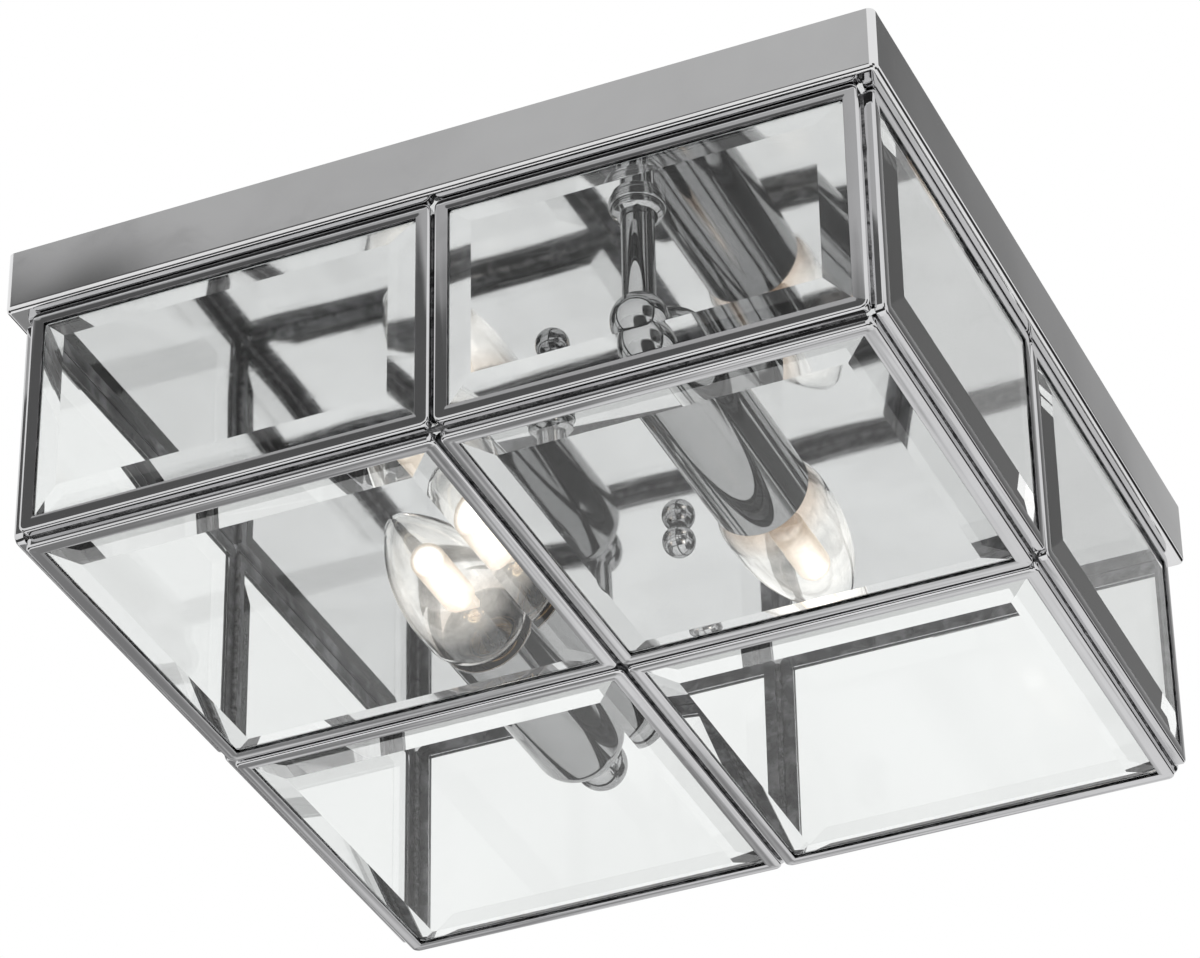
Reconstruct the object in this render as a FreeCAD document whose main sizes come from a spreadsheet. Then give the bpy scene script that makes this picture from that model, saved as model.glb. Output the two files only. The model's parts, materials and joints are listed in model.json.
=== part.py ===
import FreeCAD, Part
import math
import os
import re

import Sketcher

# Square ceiling light with two lamps in a box of bevelled glass.
# Origin at the centre of the ceiling face, +Z up, the light hangs below Z = 0.
# The front wall faces -Y, the right wall +X. Lengths in millimetres, angles in degrees.

# Driving sizes

PAN_SIZES = {
    "pan_side": 280.0,
    "pan_depth": 21.6,
    "pan_sheet": 1.0,
    "pan_corner_radius": 2.2,
    "pan_edge_radius": 1.6,
    "pan_hole_play": 0.2,
}

BRACKET_SIZES = {
    "bracket_length": 122.0,
    "bracket_width": 22.0,
    "bracket_thickness": 2.0,
    "bracket_slot_spacing": 56.0,
    "bracket_slot_length": 20.0,
    "bracket_slot_width": 5.0,
    "stud_spacing": 97.0,
    "stud_radius": 2.0,
    "stud_grip": 6.5,
    "lock_nut_radius": 3.9,
    "lock_nut_height": 3.2,
    "ball_nut_radius": 5.4,
    "ball_nut_flat_radius": 2.6,
    "ball_nut_gap": 0.2,
    "thread_play": 0.05,
    "stud_end_play": 1.0,
}

BOX_SIZES = {
    "box_inset": 3.7,
    "box_height": 82.7,
    "box_gap": 0.3,
    "channel_face": 4.6,
    "channel_depth": 3.4,
    "channel_wall": 0.7,
    "channel_corner_radius": 2.6,
    "channel_edge_radius": 0.9,
    "frame_gap": 1.2,
    "seam_gap": 0.2,
    "glass_thickness": 4.0,
    "glass_edge": 1.1,
    "bevel_width": 11.5,
    "glass_play": 0.4,
    "solder_leg": 2.0,
    "solder_depth": 1.4,
}

ARM_SIZES = {
    "lamp_x": 53.4,
    "lamp_from_wall": 29.2,
    "lamp_drop": 41.9,
    "stem_radius": 5.0,
    "stem_bore": 3.8,
    "stem_above": 6.0,
    "stem_seat": 5.2,
    "stem_nut_radius": 8.0,
    "stem_nut_height": 3.2,
    "collar_radius": 8.5,
    "collar_height": 4.4,
    "collar_groove": 1.2,
    "collar_lip": 0.9,
    "collar_edge": 0.4,
    "knuckle_radius": 8.8,
    "knuckle_neck_radius": 6.4,
    "fit_play": 0.06,
    "sleeve_start": 9.6,
    "sleeve_mouth": 89.6,
    "sleeve_radius": 15.8,
    "sleeve_wall": 0.8,
    "sleeve_end_radius": 9.5,
    "nipple_radius": 4.9,
    "nipple_bore": 3.4,
    "nipple_start": 5.1,
    "nipple_length": 22.0,
}

HOLDER_SIZES = {
    "holder_radius": 12.4,
    "holder_foot_radius": 6.2,
    "holder_foot": 9.0,
    "holder_step": 2.0,
    "holder_rim": 0.3,
    "cap_play": 0.1,
    "contact_gap": 0.4,
}

BULB_SIZES = {
    "bulb_radius": 17.5,
    "bulb_reach": 66.0,
    "cap_inset": 6.0,
    "bulb_wall": 0.7,
    "bulb_straight": 6.0,
    "bulb_shoulder_radius": 15.0,
    "bulb_neck_radius": 7.8,
    "bulb_neck_fillet": 3.0,
    "bulb_tip_radius": 6.0,
    "bulb_widest": 27.3,
    "cap_radius": 6.9,
    "cap_thread": 17.0,
    "cap_skirt_radius": 8.4,
    "cap_skirt": 7.0,
    "cap_wall": 0.4,
    "contact_radius": 2.6,
    "contact_height": 2.0,
    "mount_radius": 5.2,
    "mount_tip_radius": 2.6,
    "mount_length": 20.0,
    "capsule_radius": 5.6,
    "capsule_length": 34.0,
    "capsule_pinch": 5.0,
    "pinch_width": 9.0,
    "pinch_thickness": 2.8,
    "support_radius": 0.5,
    "support_spacing": 5.0,
    "support_length": 5.0,
    "support_bar": 7.0,
}

HINGE_SIZES = {
    "hinge_length": 26.0,
    "hinge_radius": 1.6,
    "hinge_leaf": 0.8,
    "hinge_leaf_height": 11.0,
    "hinge_pin_radius": 0.75,
    "hinge_drop": 0.4,
    "hinge_play": 0.3,
    "hinge_pin_head": 0.5,
    "running_play": 0.05,
}

CATCH_SIZES = {
    "tab_width": 14.0,
    "tab_thickness": 1.2,
    "tab_height": 15.5,
    "tab_from_front": 30.0,
    "tab_slot_play": 0.5,
    "tab_slot_slack": 2.5,
    "thumb_below_ceiling": 8.2,
    "thumb_radius": 3.9,
    "thumb_length": 3.3,
    "thumb_shank_radius": 1.95,
    "thumb_gap": 0.3,
    "boss_radius": 3.9,
    "boss_length": 2.3,
}

WIRING_SIZES = {
    "block_length": 30.0,
    "block_width": 17.0,
    "block_height": 12.0,
    "block_x": -62.0,
    "block_y": 6.0,
    "block_pitch": 10.0,
    "block_entry_height": 4.5,
    "block_entry_radius": 1.7,
    "block_screw_offset": 4.2,
    "screw_head_radius": 1.85,
    "screw_head": 1.4,
    "screw_shank_radius": 1.3,
    "screw_shank": 1.8,
    "screw_play": 0.08,
    "screw_sink": 1.5,
    "earth_y": 9.0,
    "lead_radius": 1.15,
    "lead_spacing": 3.2,
    "lead_in_stem": 8.0,
    "lead_rise": 5.3,
    "lead_in_block": 4.0,
    "lead_straight": 8.0,
    "lead_slope": 14.0,
    "lead_stagger": 6.0,
    "lead_bend": 5.0,
}

CUTTING_SIZES = {
    "overrun": 3.0,
}

ALL_SIZES = {
    **PAN_SIZES,
    **BRACKET_SIZES,
    **BOX_SIZES,
    **ARM_SIZES,
    **HOLDER_SIZES,
    **BULB_SIZES,
    **HINGE_SIZES,
    **CATCH_SIZES,
    **WIRING_SIZES,
    **CUTTING_SIZES,
}

# Places worked out from the sizes

BOX_SIDE = "(pan_side - 2 * box_inset)"
LAMP_Y = f"({BOX_SIDE} / 2 - lamp_from_wall)"
PAN_FACE = "(-pan_depth)"
PAN_FLOOR = "(pan_sheet - pan_depth)"
LAMP_Z = "(-pan_depth - lamp_drop)"
SET_BACK = "(channel_depth + seam_gap)"
BOX_TOP = "(-pan_depth - box_gap)"
WALL_SPAN = f"({BOX_SIDE} - 2 * {SET_BACK})"
FRAME_WIDTH = f"(({WALL_SPAN} - frame_gap) / 2)"
FRAME_HEIGHT = f"(box_height - {SET_BACK})"
FRAME_STEP = f"(({FRAME_WIDTH} + frame_gap) / 2)"
INNER_FACE = f"({BOX_SIDE} / 2 - channel_depth)"
PIVOT_Y = "(pan_side / 2 + hinge_leaf - hinge_radius)"
PIVOT_Z = "(-pan_depth - hinge_drop - hinge_radius)"
KNUCKLE_LENGTH = "((hinge_length - 2 * hinge_play) / 3)"
SKIRT_END = "(sleeve_mouth - cap_inset)"
THREAD_END = f"({SKIRT_END} - cap_skirt)"
THREAD_START = f"({THREAD_END} - cap_thread)"
CAP_START = f"({THREAD_START} - contact_height)"
SKIRT_TAPER_SHARE = 0.25
SKIRT_FOOT = f"({THREAD_END} + {SKIRT_TAPER_SHARE} * cap_skirt)"
BULB_TIP = "(sleeve_mouth + bulb_reach)"
TAB_Y = f"(tab_from_front - {BOX_SIDE} / 2)"
TAB_FOOT = f"({BOX_TOP} - channel_face)"

# Walls of the glass box in quarter turns about Z from the front, each with the names of
# its two halves from the left to the right as seen from outside.
WALLS = (
    ("front", ("left", "right")),
    ("right", ("front", "back")),
    ("back", ("right", "left")),
    ("left", ("back", "front")),
)
QUARTER = 90
QUARTER_COS = (1, 0, -1, 0)
QUARTER_SIN = (0, 1, 0, -1)

# The two sides of a middle line, and the two lamps: name and side on which the arm stands.
SIDES = (1, -1)
LAMPS = tuple(zip(("front", "back"), SIDES))

# Share of the cap's skirt that lies round the neck of the bulb's glass.
NECK_ENGAGED_SHARE = 0.55
# The collar's flange, groove and bead as shares of its height.
FLANGE_SHARE = 0.36
GROOVE_SHARE = 0.16
BEAD_SHARE = 0.28

doc = FreeCAD.newDocument("CeilingLight")
sheet = doc.addObject("Spreadsheet::Sheet", "Sizes")
for row, (alias, value) in enumerate(ALL_SIZES.items(), start=1):
    sheet.set(f"A{row}", str(value))
    sheet.setAlias(f"A{row}", alias)
doc.recompute()

subparts = []
ALIAS = re.compile(r"\b(" + "|".join(ALL_SIZES) + r")\b")


# Helpers that bind objects to the sheet

def sized(text):
    """Expression on the sheet's cells, from one on the plain names of sizes."""
    return ALIAS.sub(r"Sizes.\1", text)


def number(text):
    """Value of an expression on the sizes."""
    return float(sheet.evalExpression(sized(text)))


def bind(item, **lengths):
    for prop, text in lengths.items():
        item.setExpression(prop, sized(text))


def place(item, x="0", y="0", z="0", rotation=None):
    """Turn an object, then bind its place to the sizes."""
    if rotation is not None:
        item.Placement = FreeCAD.Placement(FreeCAD.Vector(), rotation)
    for axis, text in zip("xyz", (x, y, z)):
        if text != "0":
            item.setExpression(f"Placement.Base.{axis}", sized(text))
    return item


def turn(axis, degrees):
    return FreeCAD.Rotation(FreeCAD.Vector(*axis), degrees)


UPRIGHT = turn((0, 0, 1), 0)
ALONG_X = turn((0, 1, 0), QUARTER)
ALONG_Y = turn((1, 0, 0), -QUARTER)


def keep(item, label):
    """Name a finished sub-part and list it for the export."""
    item.Label = label
    subparts.append(item)
    return item


def block(name, size, corner):
    item = doc.addObject("Part::Box", name)
    bind(item, Length=size[0], Width=size[1], Height=size[2])
    return place(item, *corner)


def rod(name, radius, length, start, rotation=UPRIGHT):
    """Cylinder from a start point, up unless it is turned."""
    item = doc.addObject("Part::Cylinder", name)
    bind(item, Radius=radius, Height=length)
    return place(item, *start, rotation=rotation)


def hexagon(name, radius, height, start):
    item = doc.addObject("Part::Prism", name)
    item.Polygon = 6
    bind(item, Circumradius=radius, Height=height)
    return place(item, *start)


def joined(name, shapes):
    item = doc.addObject("Part::MultiFuse", name)
    item.Shapes = shapes
    return item


def cut(name, base, tools):
    item = doc.addObject("Part::Cut", name)
    item.Base = base
    item.Tool = tools[0] if len(tools) == 1 else joined(name + "Tools", tools)
    return item


def group(label, solids):
    """Several like solids that share one node."""
    item = doc.addObject("Part::Compound", label)
    item.Links = solids
    return keep(item, label)


# Helpers for bodies with sketches

def new_body(label):
    body = doc.addObject("PartDesign::Body", label)
    return keep(body, label)


def new_sketch(body, name, role, lift=None):
    """Sketch on one of the body's own origin planes, lifted along its normal."""
    sketch = body.newObject("Sketcher::SketchObject", name)
    plane = next(item for item in body.Origin.OriginFeatures if item.Role == role)
    sketch.AttachmentSupport = [(plane, "")]
    sketch.MapMode = "FlatFace"
    if lift is not None:
        sketch.setExpression(".AttachmentOffset.Base.z", sized(lift))
    return sketch


def fix_point(sketch, edge, end, spot):
    """Bind one end of a sketch edge to a place given by two expressions."""
    for kind, axis_line, text in zip(("DistanceX", "DistanceY"), (-2, -1), spot):
        if text == "0":
            sketch.addConstraint(Sketcher.Constraint("PointOnObject", edge, end, axis_line))
        else:
            index = sketch.addConstraint(
                Sketcher.Constraint(kind, -1, 1, edge, end, number(text)))
            sketch.setExpression(f"Constraints[{index}]", sized(text))


def polygon(sketch, spots):
    """Closed outline through places given as pairs of expressions."""
    corners = [FreeCAD.Vector(number(x), number(y), 0) for x, y in spots]
    count = len(corners)
    edges = [
        sketch.addGeometry(Part.LineSegment(corners[i], corners[(i + 1) % count]), False)
        for i in range(count)
    ]
    for i, edge in enumerate(edges):
        sketch.addConstraint(
            Sketcher.Constraint("Coincident", edge, 2, edges[(i + 1) % count], 1))
    for edge, spot in zip(edges, spots):
        fix_point(sketch, edge, 1, spot)


def circle(sketch, spot, radius):
    centre = FreeCAD.Vector(number(spot[0]), number(spot[1]), 0)
    edge = sketch.addGeometry(
        Part.Circle(centre, FreeCAD.Vector(0, 0, 1), number(radius)), False)
    index = sketch.addConstraint(Sketcher.Constraint("Radius", edge, number(radius)))
    sketch.setExpression(f"Constraints[{index}]", sized(radius))
    fix_point(sketch, edge, 3, spot)


def rectangle(sketch, width, height, centre=("0", "0")):
    x, y = centre
    polygon(sketch, (
        (f"{x} - {width} / 2", f"{y} - {height} / 2"),
        (f"{x} + {width} / 2", f"{y} - {height} / 2"),
        (f"{x} + {width} / 2", f"{y} + {height} / 2"),
        (f"{x} - {width} / 2", f"{y} + {height} / 2"),
    ))


def pad(body, sketch, length, reverse=False):
    item = body.newObject("PartDesign::Pad", "Pad")
    item.Profile = sketch
    item.Reversed = reverse
    bind(item, Length=length)
    doc.recompute()
    return item


def pocket(body, sketch, length=None):
    """Cut along the sketch's normal by a length, or through all both ways."""
    before = body.Shape.Volume
    item = body.newObject("PartDesign::Pocket", "Pocket")
    item.Profile = sketch
    if length is None:
        item.Type = "ThroughAll"
        item.Midplane = True
    else:
        item.Reversed = True
        bind(item, Length=length)
    doc.recompute()
    if not body.Shape.Volume < before:
        raise RuntimeError(f"{body.Label}: {sketch.Name} cuts nothing")
    return item


def rounded(body, radius, chosen):
    """Fillet on the edges of the body's last feature that a test picks."""
    base = body.Tip
    names = [f"Edge{i}" for i, edge in enumerate(base.Shape.Edges, 1) if chosen(edge)]
    if not names:
        raise RuntimeError(f"{body.Label}: no edge to round")
    item = body.newObject("PartDesign::Fillet", "Rounding")
    item.Base = (base, names)
    bind(item, Radius=radius)
    doc.recompute()
    return item


NEARLY = 1e-5


def is_upright(edge):
    return edge.Curve.TypeId == "Part::GeomLine" and abs(edge.Curve.Direction.z) > 1 - NEARLY


def lies_at_height(height):
    level = number(height)
    return lambda edge: max(
        abs(edge.BoundBox.ZMin - level), abs(edge.BoundBox.ZMax - level)) < NEARLY


def turned(label, role, spots):
    """Solid of revolution about the sketch's vertical axis.

    spots are pairs of a radius and a place along the axis. A third text is the radius of
    the fillet on the circle that the spot makes.
    """
    body = new_body(label)
    sketch = new_sketch(body, "Profile", role)
    polygon(sketch, [spot[:2] for spot in spots])
    item = body.newObject("PartDesign::Revolution", "Turning")
    item.Profile = sketch
    item.ReferenceAxis = (sketch, ["V_Axis"])
    doc.recompute()
    up = FreeCAD.Vector(0, 1, 0) if role == "XY_Plane" else FreeCAD.Vector(0, 0, 1)
    for spot in spots:
        wanted_radius, wanted_place = (number(text) for text in spot[:2])

        def on_circle(edge):
            return (
                edge.Curve.TypeId == "Part::GeomCircle"
                and abs(edge.Curve.Radius - wanted_radius) < NEARLY
                and abs(edge.Curve.Center.dot(up) - wanted_place) < NEARLY
            )
        for fillet_radius in spot[2:]:
            rounded(body, fillet_radius, on_circle)
    return body


# Ceiling pan: one pressed sheet, open towards the ceiling

def ceiling_pan():
    body = new_body("ceiling_pan")
    outline = new_sketch(body, "PanOutline", "XY_Plane")
    rectangle(outline, "pan_side", "pan_side")
    pad(body, outline, "pan_depth", reverse=True)
    rounded(body, "pan_corner_radius", is_upright)
    rounded(body, "pan_edge_radius", lies_at_height(PAN_FACE))
    pressed = body.Tip
    open_side = [
        f"Face{i}" for i, face in enumerate(pressed.Shape.Faces, 1)
        if abs(face.BoundBox.ZMin) < NEARLY
    ]
    shell = body.newObject("PartDesign::Thickness", "Shell")
    shell.Base = (pressed, open_side)
    shell.Reversed = True
    bind(shell, Value="pan_sheet")
    doc.recompute()
    holes = new_sketch(body, "FaceHoles", "XY_Plane")
    for _, side in LAMPS:
        circle(holes, (f"{side} * lamp_x", f"{-side} * {LAMP_Y}"), "stem_radius + pan_hole_play")
        circle(holes, ("0", f"{side} * stud_spacing / 2"), "stud_radius + pan_hole_play")
    rectangle(
        holes,
        "(tab_thickness + 2 * tab_slot_play)",
        "(tab_width + 2 * tab_slot_slack)",
        (f"(-{BOX_SIDE} / 2 - tab_thickness / 2)", TAB_Y),
    )
    pocket(body, holes)
    side_hole = new_sketch(body, "SideHole", "YZ_Plane", "-pan_side / 2")
    circle(side_hole, (TAB_Y, "-thumb_below_ceiling"), "thumb_shank_radius + pan_hole_play")
    pocket(body, side_hole, "pan_sheet + pan_corner_radius")


# Bracket on the ceiling with its studs and their nuts

def mounting_bracket():
    straight = "(bracket_length - bracket_width)"
    slot_straight = "(bracket_slot_length - bracket_slot_width)"
    low = "-bracket_thickness"
    through = "(bracket_thickness + 2 * overrun)"
    below = "(-bracket_thickness - overrun)"
    bar = [block("BracketBar", ("bracket_width", straight, "bracket_thickness"),
                 ("-bracket_width / 2", f"-{straight} / 2", low))]
    cutters = [rod("EarthHole", "screw_shank_radius + screw_play", through,
                   ("0", "earth_y", below))]
    for side in SIDES:
        bar.append(rod("BracketEnd", "bracket_width / 2", "bracket_thickness",
                       ("0", f"{side} * {straight} / 2", low)))
        cutters.append(rod("StudHole", "stud_radius + thread_play", through,
                           ("0", f"{side} * stud_spacing / 2", below)))
        middle = f"{side} * bracket_slot_spacing / 2"
        cutters.append(block(
            "Slot", ("bracket_slot_width", slot_straight, through),
            ("-bracket_slot_width / 2", f"{middle} - {slot_straight} / 2", below)))
        for end in SIDES:
            cutters.append(rod("SlotEnd", "bracket_slot_width / 2", through,
                               ("0", f"{middle} + {end} * {slot_straight} / 2", below)))
    keep(cut("Bracket", joined("BracketBlank", bar), cutters), "mounting_bracket")


def bracket_studs():
    length = "(pan_depth + ball_nut_gap + stud_grip)"
    studs = []
    nuts = []
    for side in SIDES:
        y = f"{side} * stud_spacing / 2"
        studs.append(rod("Stud", "stud_radius", length, ("0", y, f"-{length}")))
        nut_low = "-bracket_thickness - lock_nut_height"
        nut = hexagon("LockNut", "lock_nut_radius", "lock_nut_height", ("0", y, nut_low))
        bore = rod("LockNutBore", "stud_radius + thread_play", "lock_nut_height + 2 * overrun",
                   ("0", y, f"{nut_low} - overrun"))
        nuts.append(cut("LockNutCut", nut, [bore]))
    group("bracket_studs", studs)
    group("lock_nuts", nuts)


def ball_nuts():
    """Ball nuts under the pan's face, each flattened where it bears and bored for its stud."""
    flat_rise = "sqrt(ball_nut_radius ^ 2 - ball_nut_flat_radius ^ 2)"
    flat = "(-pan_depth - ball_nut_gap)"
    for name, side in LAMPS:
        y = f"{-side} * stud_spacing / 2"
        ball = doc.addObject("Part::Sphere", "BallNut")
        bind(ball, Radius="ball_nut_radius")
        place(ball, "0", y, f"{flat} - {flat_rise}")
        facing = rod("BallNutFacing", "ball_nut_radius", "ball_nut_radius", ("0", y, flat))
        depth = "(stud_grip + stud_end_play)"
        bore = rod("BallNutBore", "stud_radius + thread_play", depth,
                   ("0", y, f"{flat} - {depth}"))
        keep(cut("BallNutCut", ball, [facing, bore]), f"ball_nut_{name}")


# Lamp arms: stem, collar, knuckle, sleeve and lampholder.
# A lamp's own frame has its origin in the ball of the knuckle and +Y towards the bulb.

def at_lamp(item, side, z=LAMP_Z):
    facing = turn((0, 0, 1), 0 if side > 0 else 2 * QUARTER)
    return place(item, f"{side} * lamp_x", f"{-side} * {LAMP_Y}", z, rotation=facing)


def stem(name, side):
    low = "stem_seat"
    high = f"({PAN_FLOOR} - {LAMP_Z} + stem_above)"
    body = turned(f"stem_{name}", "XZ_Plane", (
        ("stem_bore", low),
        ("stem_radius", low),
        ("stem_radius", high),
        ("stem_bore", high),
    ))
    at_lamp(body, side)


def collar(name, side):
    bore = "(stem_radius + fit_play)"
    flange = f"({FLANGE_SHARE} * collar_height)"
    groove_end = f"({flange} + {GROOVE_SHARE} * collar_height)"
    bead_end = f"({groove_end} + {BEAD_SHARE} * collar_height)"
    body = turned(f"collar_{name}", "XZ_Plane", (
        (bore, "0"),
        ("collar_radius", "0"),
        ("collar_radius", f"-{flange}", "collar_edge"),
        ("collar_radius - collar_groove", f"-{flange}"),
        ("collar_radius - collar_groove", f"-{groove_end}"),
        ("collar_radius - collar_lip", f"-{groove_end}"),
        ("collar_radius - collar_lip", f"-{bead_end}", "collar_edge"),
        (f"{bore} + collar_lip", "-collar_height"),
        (bore, "-collar_height"),
    ))
    at_lamp(body, side, PAN_FACE)


def knuckle(name, side):
    ball = doc.addObject("Part::Sphere", "KnuckleBall")
    bind(ball, Radius="knuckle_radius")
    neck = rod("KnuckleNeck", "knuckle_neck_radius", "sleeve_start", ("0", "0", "0"), ALONG_Y)
    tools = [
        rod("StemSocket", "stem_radius + fit_play", "knuckle_radius",
            ("0", "0", "stem_seat")),
        rod("WireWay", "stem_bore", "stem_bore + knuckle_radius + overrun",
            ("0", "0", "-stem_bore")),
        rod("NippleWay", "nipple_bore", "sleeve_start + overrun", ("0", "0", "0"), ALONG_Y),
        rod("NippleSocket", "nipple_radius + fit_play", "sleeve_start + overrun",
            ("0", "nipple_start", "0"), ALONG_Y),
    ]
    item = cut("Knuckle", joined("KnuckleBlank", [ball, neck]), tools)
    at_lamp(keep(item, f"knuckle_{name}"), side)


def sleeve(name, side):
    bore = "(nipple_radius + fit_play)"
    inside = "(sleeve_radius - sleeve_wall)"
    floor = "(sleeve_start + sleeve_wall)"
    body = turned(f"sleeve_{name}", "XY_Plane", (
        (bore, "sleeve_start"),
        ("sleeve_radius", "sleeve_start", "sleeve_end_radius"),
        ("sleeve_radius", "sleeve_mouth"),
        (inside, "sleeve_mouth"),
        (inside, floor, "sleeve_end_radius - sleeve_wall"),
        (bore, floor),
    ))
    at_lamp(body, side)


def lampholder(name, side):
    """Insulating holder screwed on the nipple, with the socket for the bulb's cap."""
    foot = "(sleeve_start + sleeve_wall)"
    shoulder = f"({foot} + holder_foot)"
    mouth = f"({THREAD_END} - holder_rim)"
    bore = "(cap_radius + cap_play)"
    floor = f"({CAP_START} - contact_gap)"
    nipple_end = "(nipple_start + nipple_length)"
    thread = "(nipple_radius + fit_play)"
    body = turned(f"lampholder_{name}", "XY_Plane", (
        (thread, foot),
        ("holder_foot_radius", foot),
        ("holder_foot_radius", shoulder),
        ("holder_radius", shoulder),
        ("holder_radius", f"{mouth} - holder_step"),
        ("holder_radius - holder_step", mouth),
        (bore, mouth),
        (bore, floor),
        ("0", floor),
        ("0", nipple_end),
        (thread, nipple_end),
    ))
    at_lamp(body, side)


def nipples_and_nuts():
    """Threaded nipples in the knuckles, and the hexagon nuts on the stems above the pan."""
    nipples = []
    nuts = []
    for _, side in LAMPS:
        tube = rod("NippleTube", "nipple_radius", "nipple_length",
                   ("0", "nipple_start", "0"), ALONG_Y)
        bore = rod("NippleBore", "nipple_bore", "nipple_length + 2 * overrun",
                   ("0", "nipple_start - overrun", "0"), ALONG_Y)
        nipples.append(at_lamp(cut("Nipple", tube, [bore]), side))
        nut = hexagon("StemNut", "stem_nut_radius", "stem_nut_height", ("0", "0", "0"))
        hole = rod("StemNutBore", "stem_radius + thread_play", "stem_nut_height + 2 * overrun",
                   ("0", "0", "-overrun"))
        nuts.append(at_lamp(cut("StemNutCut", nut, [hole]), side, PAN_FLOOR))
    group("lamp_nipples", nipples)
    group("stem_nuts", nuts)


# Bulbs

def bulb_cap(name, side):
    """Metal cap: contact, threaded shell as a plain cylinder, and skirt round the neck."""
    inside = "(cap_skirt_radius - cap_wall)"
    body = turned(f"bulb_cap_{name}", "XY_Plane", (
        ("0", CAP_START),
        ("contact_radius", CAP_START),
        ("contact_radius", THREAD_START),
        ("cap_radius", f"{THREAD_START} + cap_wall"),
        ("cap_radius", THREAD_END),
        ("cap_skirt_radius", SKIRT_FOOT),
        ("cap_skirt_radius", SKIRT_END),
        (inside, SKIRT_END),
        (inside, f"{SKIRT_FOOT} + cap_wall"),
        ("0", f"{SKIRT_FOOT} + cap_wall"),
    ))
    at_lamp(body, side)


def arc(centre, radius, start, end):
    """Arc about a centre, from one direction to another less than a half turn away."""
    middle = (start + end).normalize()
    points = [centre + direction * radius for direction in (start, middle, end)]
    return Part.Arc(*points).toShape()


def envelope_outline(neck, tip, inset):
    """Edges of a bulb's outline from its tip to its neck, and its two ends.

    The tip is a ball, then come a long flank, a straight belt, a shoulder and a hollow
    round into the neck. inset moves the outline inwards by a wall's thickness.
    """
    radius = number("bulb_radius")
    tip_radius = number("bulb_tip_radius")
    shoulder_radius = number("bulb_shoulder_radius")
    hollow_radius = number("bulb_neck_fillet")
    neck_radius = number("bulb_neck_radius")
    widest = neck + number("bulb_widest")
    belt_end = widest - number("bulb_straight")
    ball = FreeCAD.Vector(0, tip - tip_radius, 0)
    rise = ball.y - widest
    flank_radius = (radius**2 + rise**2 - tip_radius**2) / (2 * (radius - tip_radius))
    flank = FreeCAD.Vector(radius - flank_radius, widest, 0)
    shoulder = FreeCAD.Vector(radius - shoulder_radius, belt_end, 0)
    spacing = shoulder_radius + hollow_radius
    reach = neck_radius + hollow_radius - shoulder.x
    hollow = FreeCAD.Vector(
        neck_radius + hollow_radius, belt_end - math.sqrt(spacing**2 - reach**2), 0
    )
    along = FreeCAD.Vector(0, 1, 0)
    outwards = FreeCAD.Vector(1, 0, 0)
    to_ball = (ball - flank).normalize()
    to_hollow = (hollow - shoulder).normalize()
    neck_end = FreeCAD.Vector(neck_radius - inset, neck, 0)
    edges = [
        arc(ball, tip_radius - inset, along, to_ball),
        arc(flank, flank_radius - inset, to_ball, outwards),
        Part.LineSegment(
            FreeCAD.Vector(radius - inset, widest, 0),
            FreeCAD.Vector(radius - inset, belt_end, 0),
        ).toShape(),
        arc(shoulder, shoulder_radius - inset, outwards, to_hollow),
        arc(hollow, hollow_radius + inset, -to_hollow, -outwards),
        Part.LineSegment(FreeCAD.Vector(neck_end.x, hollow.y, 0), neck_end).toShape(),
    ]
    return edges, FreeCAD.Vector(0, tip - inset, 0), neck_end


def envelope_shape():
    """Clear glass envelope of a bulb: one wall between two smooth outlines."""
    neck = number(f"{SKIRT_END} - {NECK_ENGAGED_SHARE} * cap_skirt")
    tip = number(BULB_TIP)
    outside, outside_tip, outside_neck = envelope_outline(neck, tip, 0)
    inside, inside_tip, inside_neck = envelope_outline(neck, tip, number("bulb_wall"))
    ends = [
        Part.LineSegment(outside_tip, inside_tip).toShape(),
        Part.LineSegment(outside_neck, inside_neck).toShape(),
    ]
    face = Part.Face(Part.Wire(Part.__sortEdges__(outside + inside + ends)))
    return face.revolve(FreeCAD.Vector(), FreeCAD.Vector(0, 1, 0), 4 * QUARTER)


def bulb_glass(name, side, shape):
    item = doc.addObject("Part::Feature", f"bulb_glass_{name}")
    item.Shape = shape
    at_lamp(keep(item, f"bulb_glass_{name}"), side)


def bulb_inside(name, side):
    """Glass mount with its support wires, and the sealed capsule that they carry."""
    mount_foot = f"({SKIRT_FOOT} + cap_wall)"
    mount_end = f"({mount_foot} + mount_length)"
    capsule_foot = f"({mount_end} + support_length)"
    mount = doc.addObject("Part::Cone", "MountGlass")
    bind(mount, Radius1="mount_radius", Radius2="mount_tip_radius", Height="mount_length")
    place(mount, "0", mount_foot, "0", rotation=ALONG_Y)
    wires = [
        rod("SupportWire", "support_radius", "support_length",
            (f"{end} * support_spacing / 2", mount_end, "0"), ALONG_Y)
        for end in SIDES
    ]
    plate = block("MountPlate", ("support_bar", "2 * support_radius", "2 * support_radius"),
                  ("-support_bar / 2", f"{mount_end} - support_radius", "-support_radius"))
    at_lamp(keep(joined("Mount", [mount, plate] + wires), f"bulb_mount_{name}"), side)
    straight = "(capsule_length - capsule_pinch - capsule_radius)"
    pinch = block("CapsulePinch",
                  ("pinch_width", "capsule_pinch + capsule_radius", "pinch_thickness"),
                  ("-pinch_width / 2", capsule_foot, "-pinch_thickness / 2"))
    tube = rod("CapsuleTube", "capsule_radius", straight,
               ("0", f"{capsule_foot} + capsule_pinch", "0"), ALONG_Y)
    dome = doc.addObject("Part::Sphere", "CapsuleDome")
    bind(dome, Radius="capsule_radius")
    place(dome, "0", f"{capsule_foot} + capsule_pinch + {straight}", "0")
    at_lamp(keep(joined("Capsule", [pinch, tube, dome]), f"bulb_capsule_{name}"), side)


# Glass box: a channel frame and a bevelled pane in each half of a wall and each quarter
# of the bottom. Their own frame has its origin in the middle of the inner face, +Z outwards.

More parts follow.
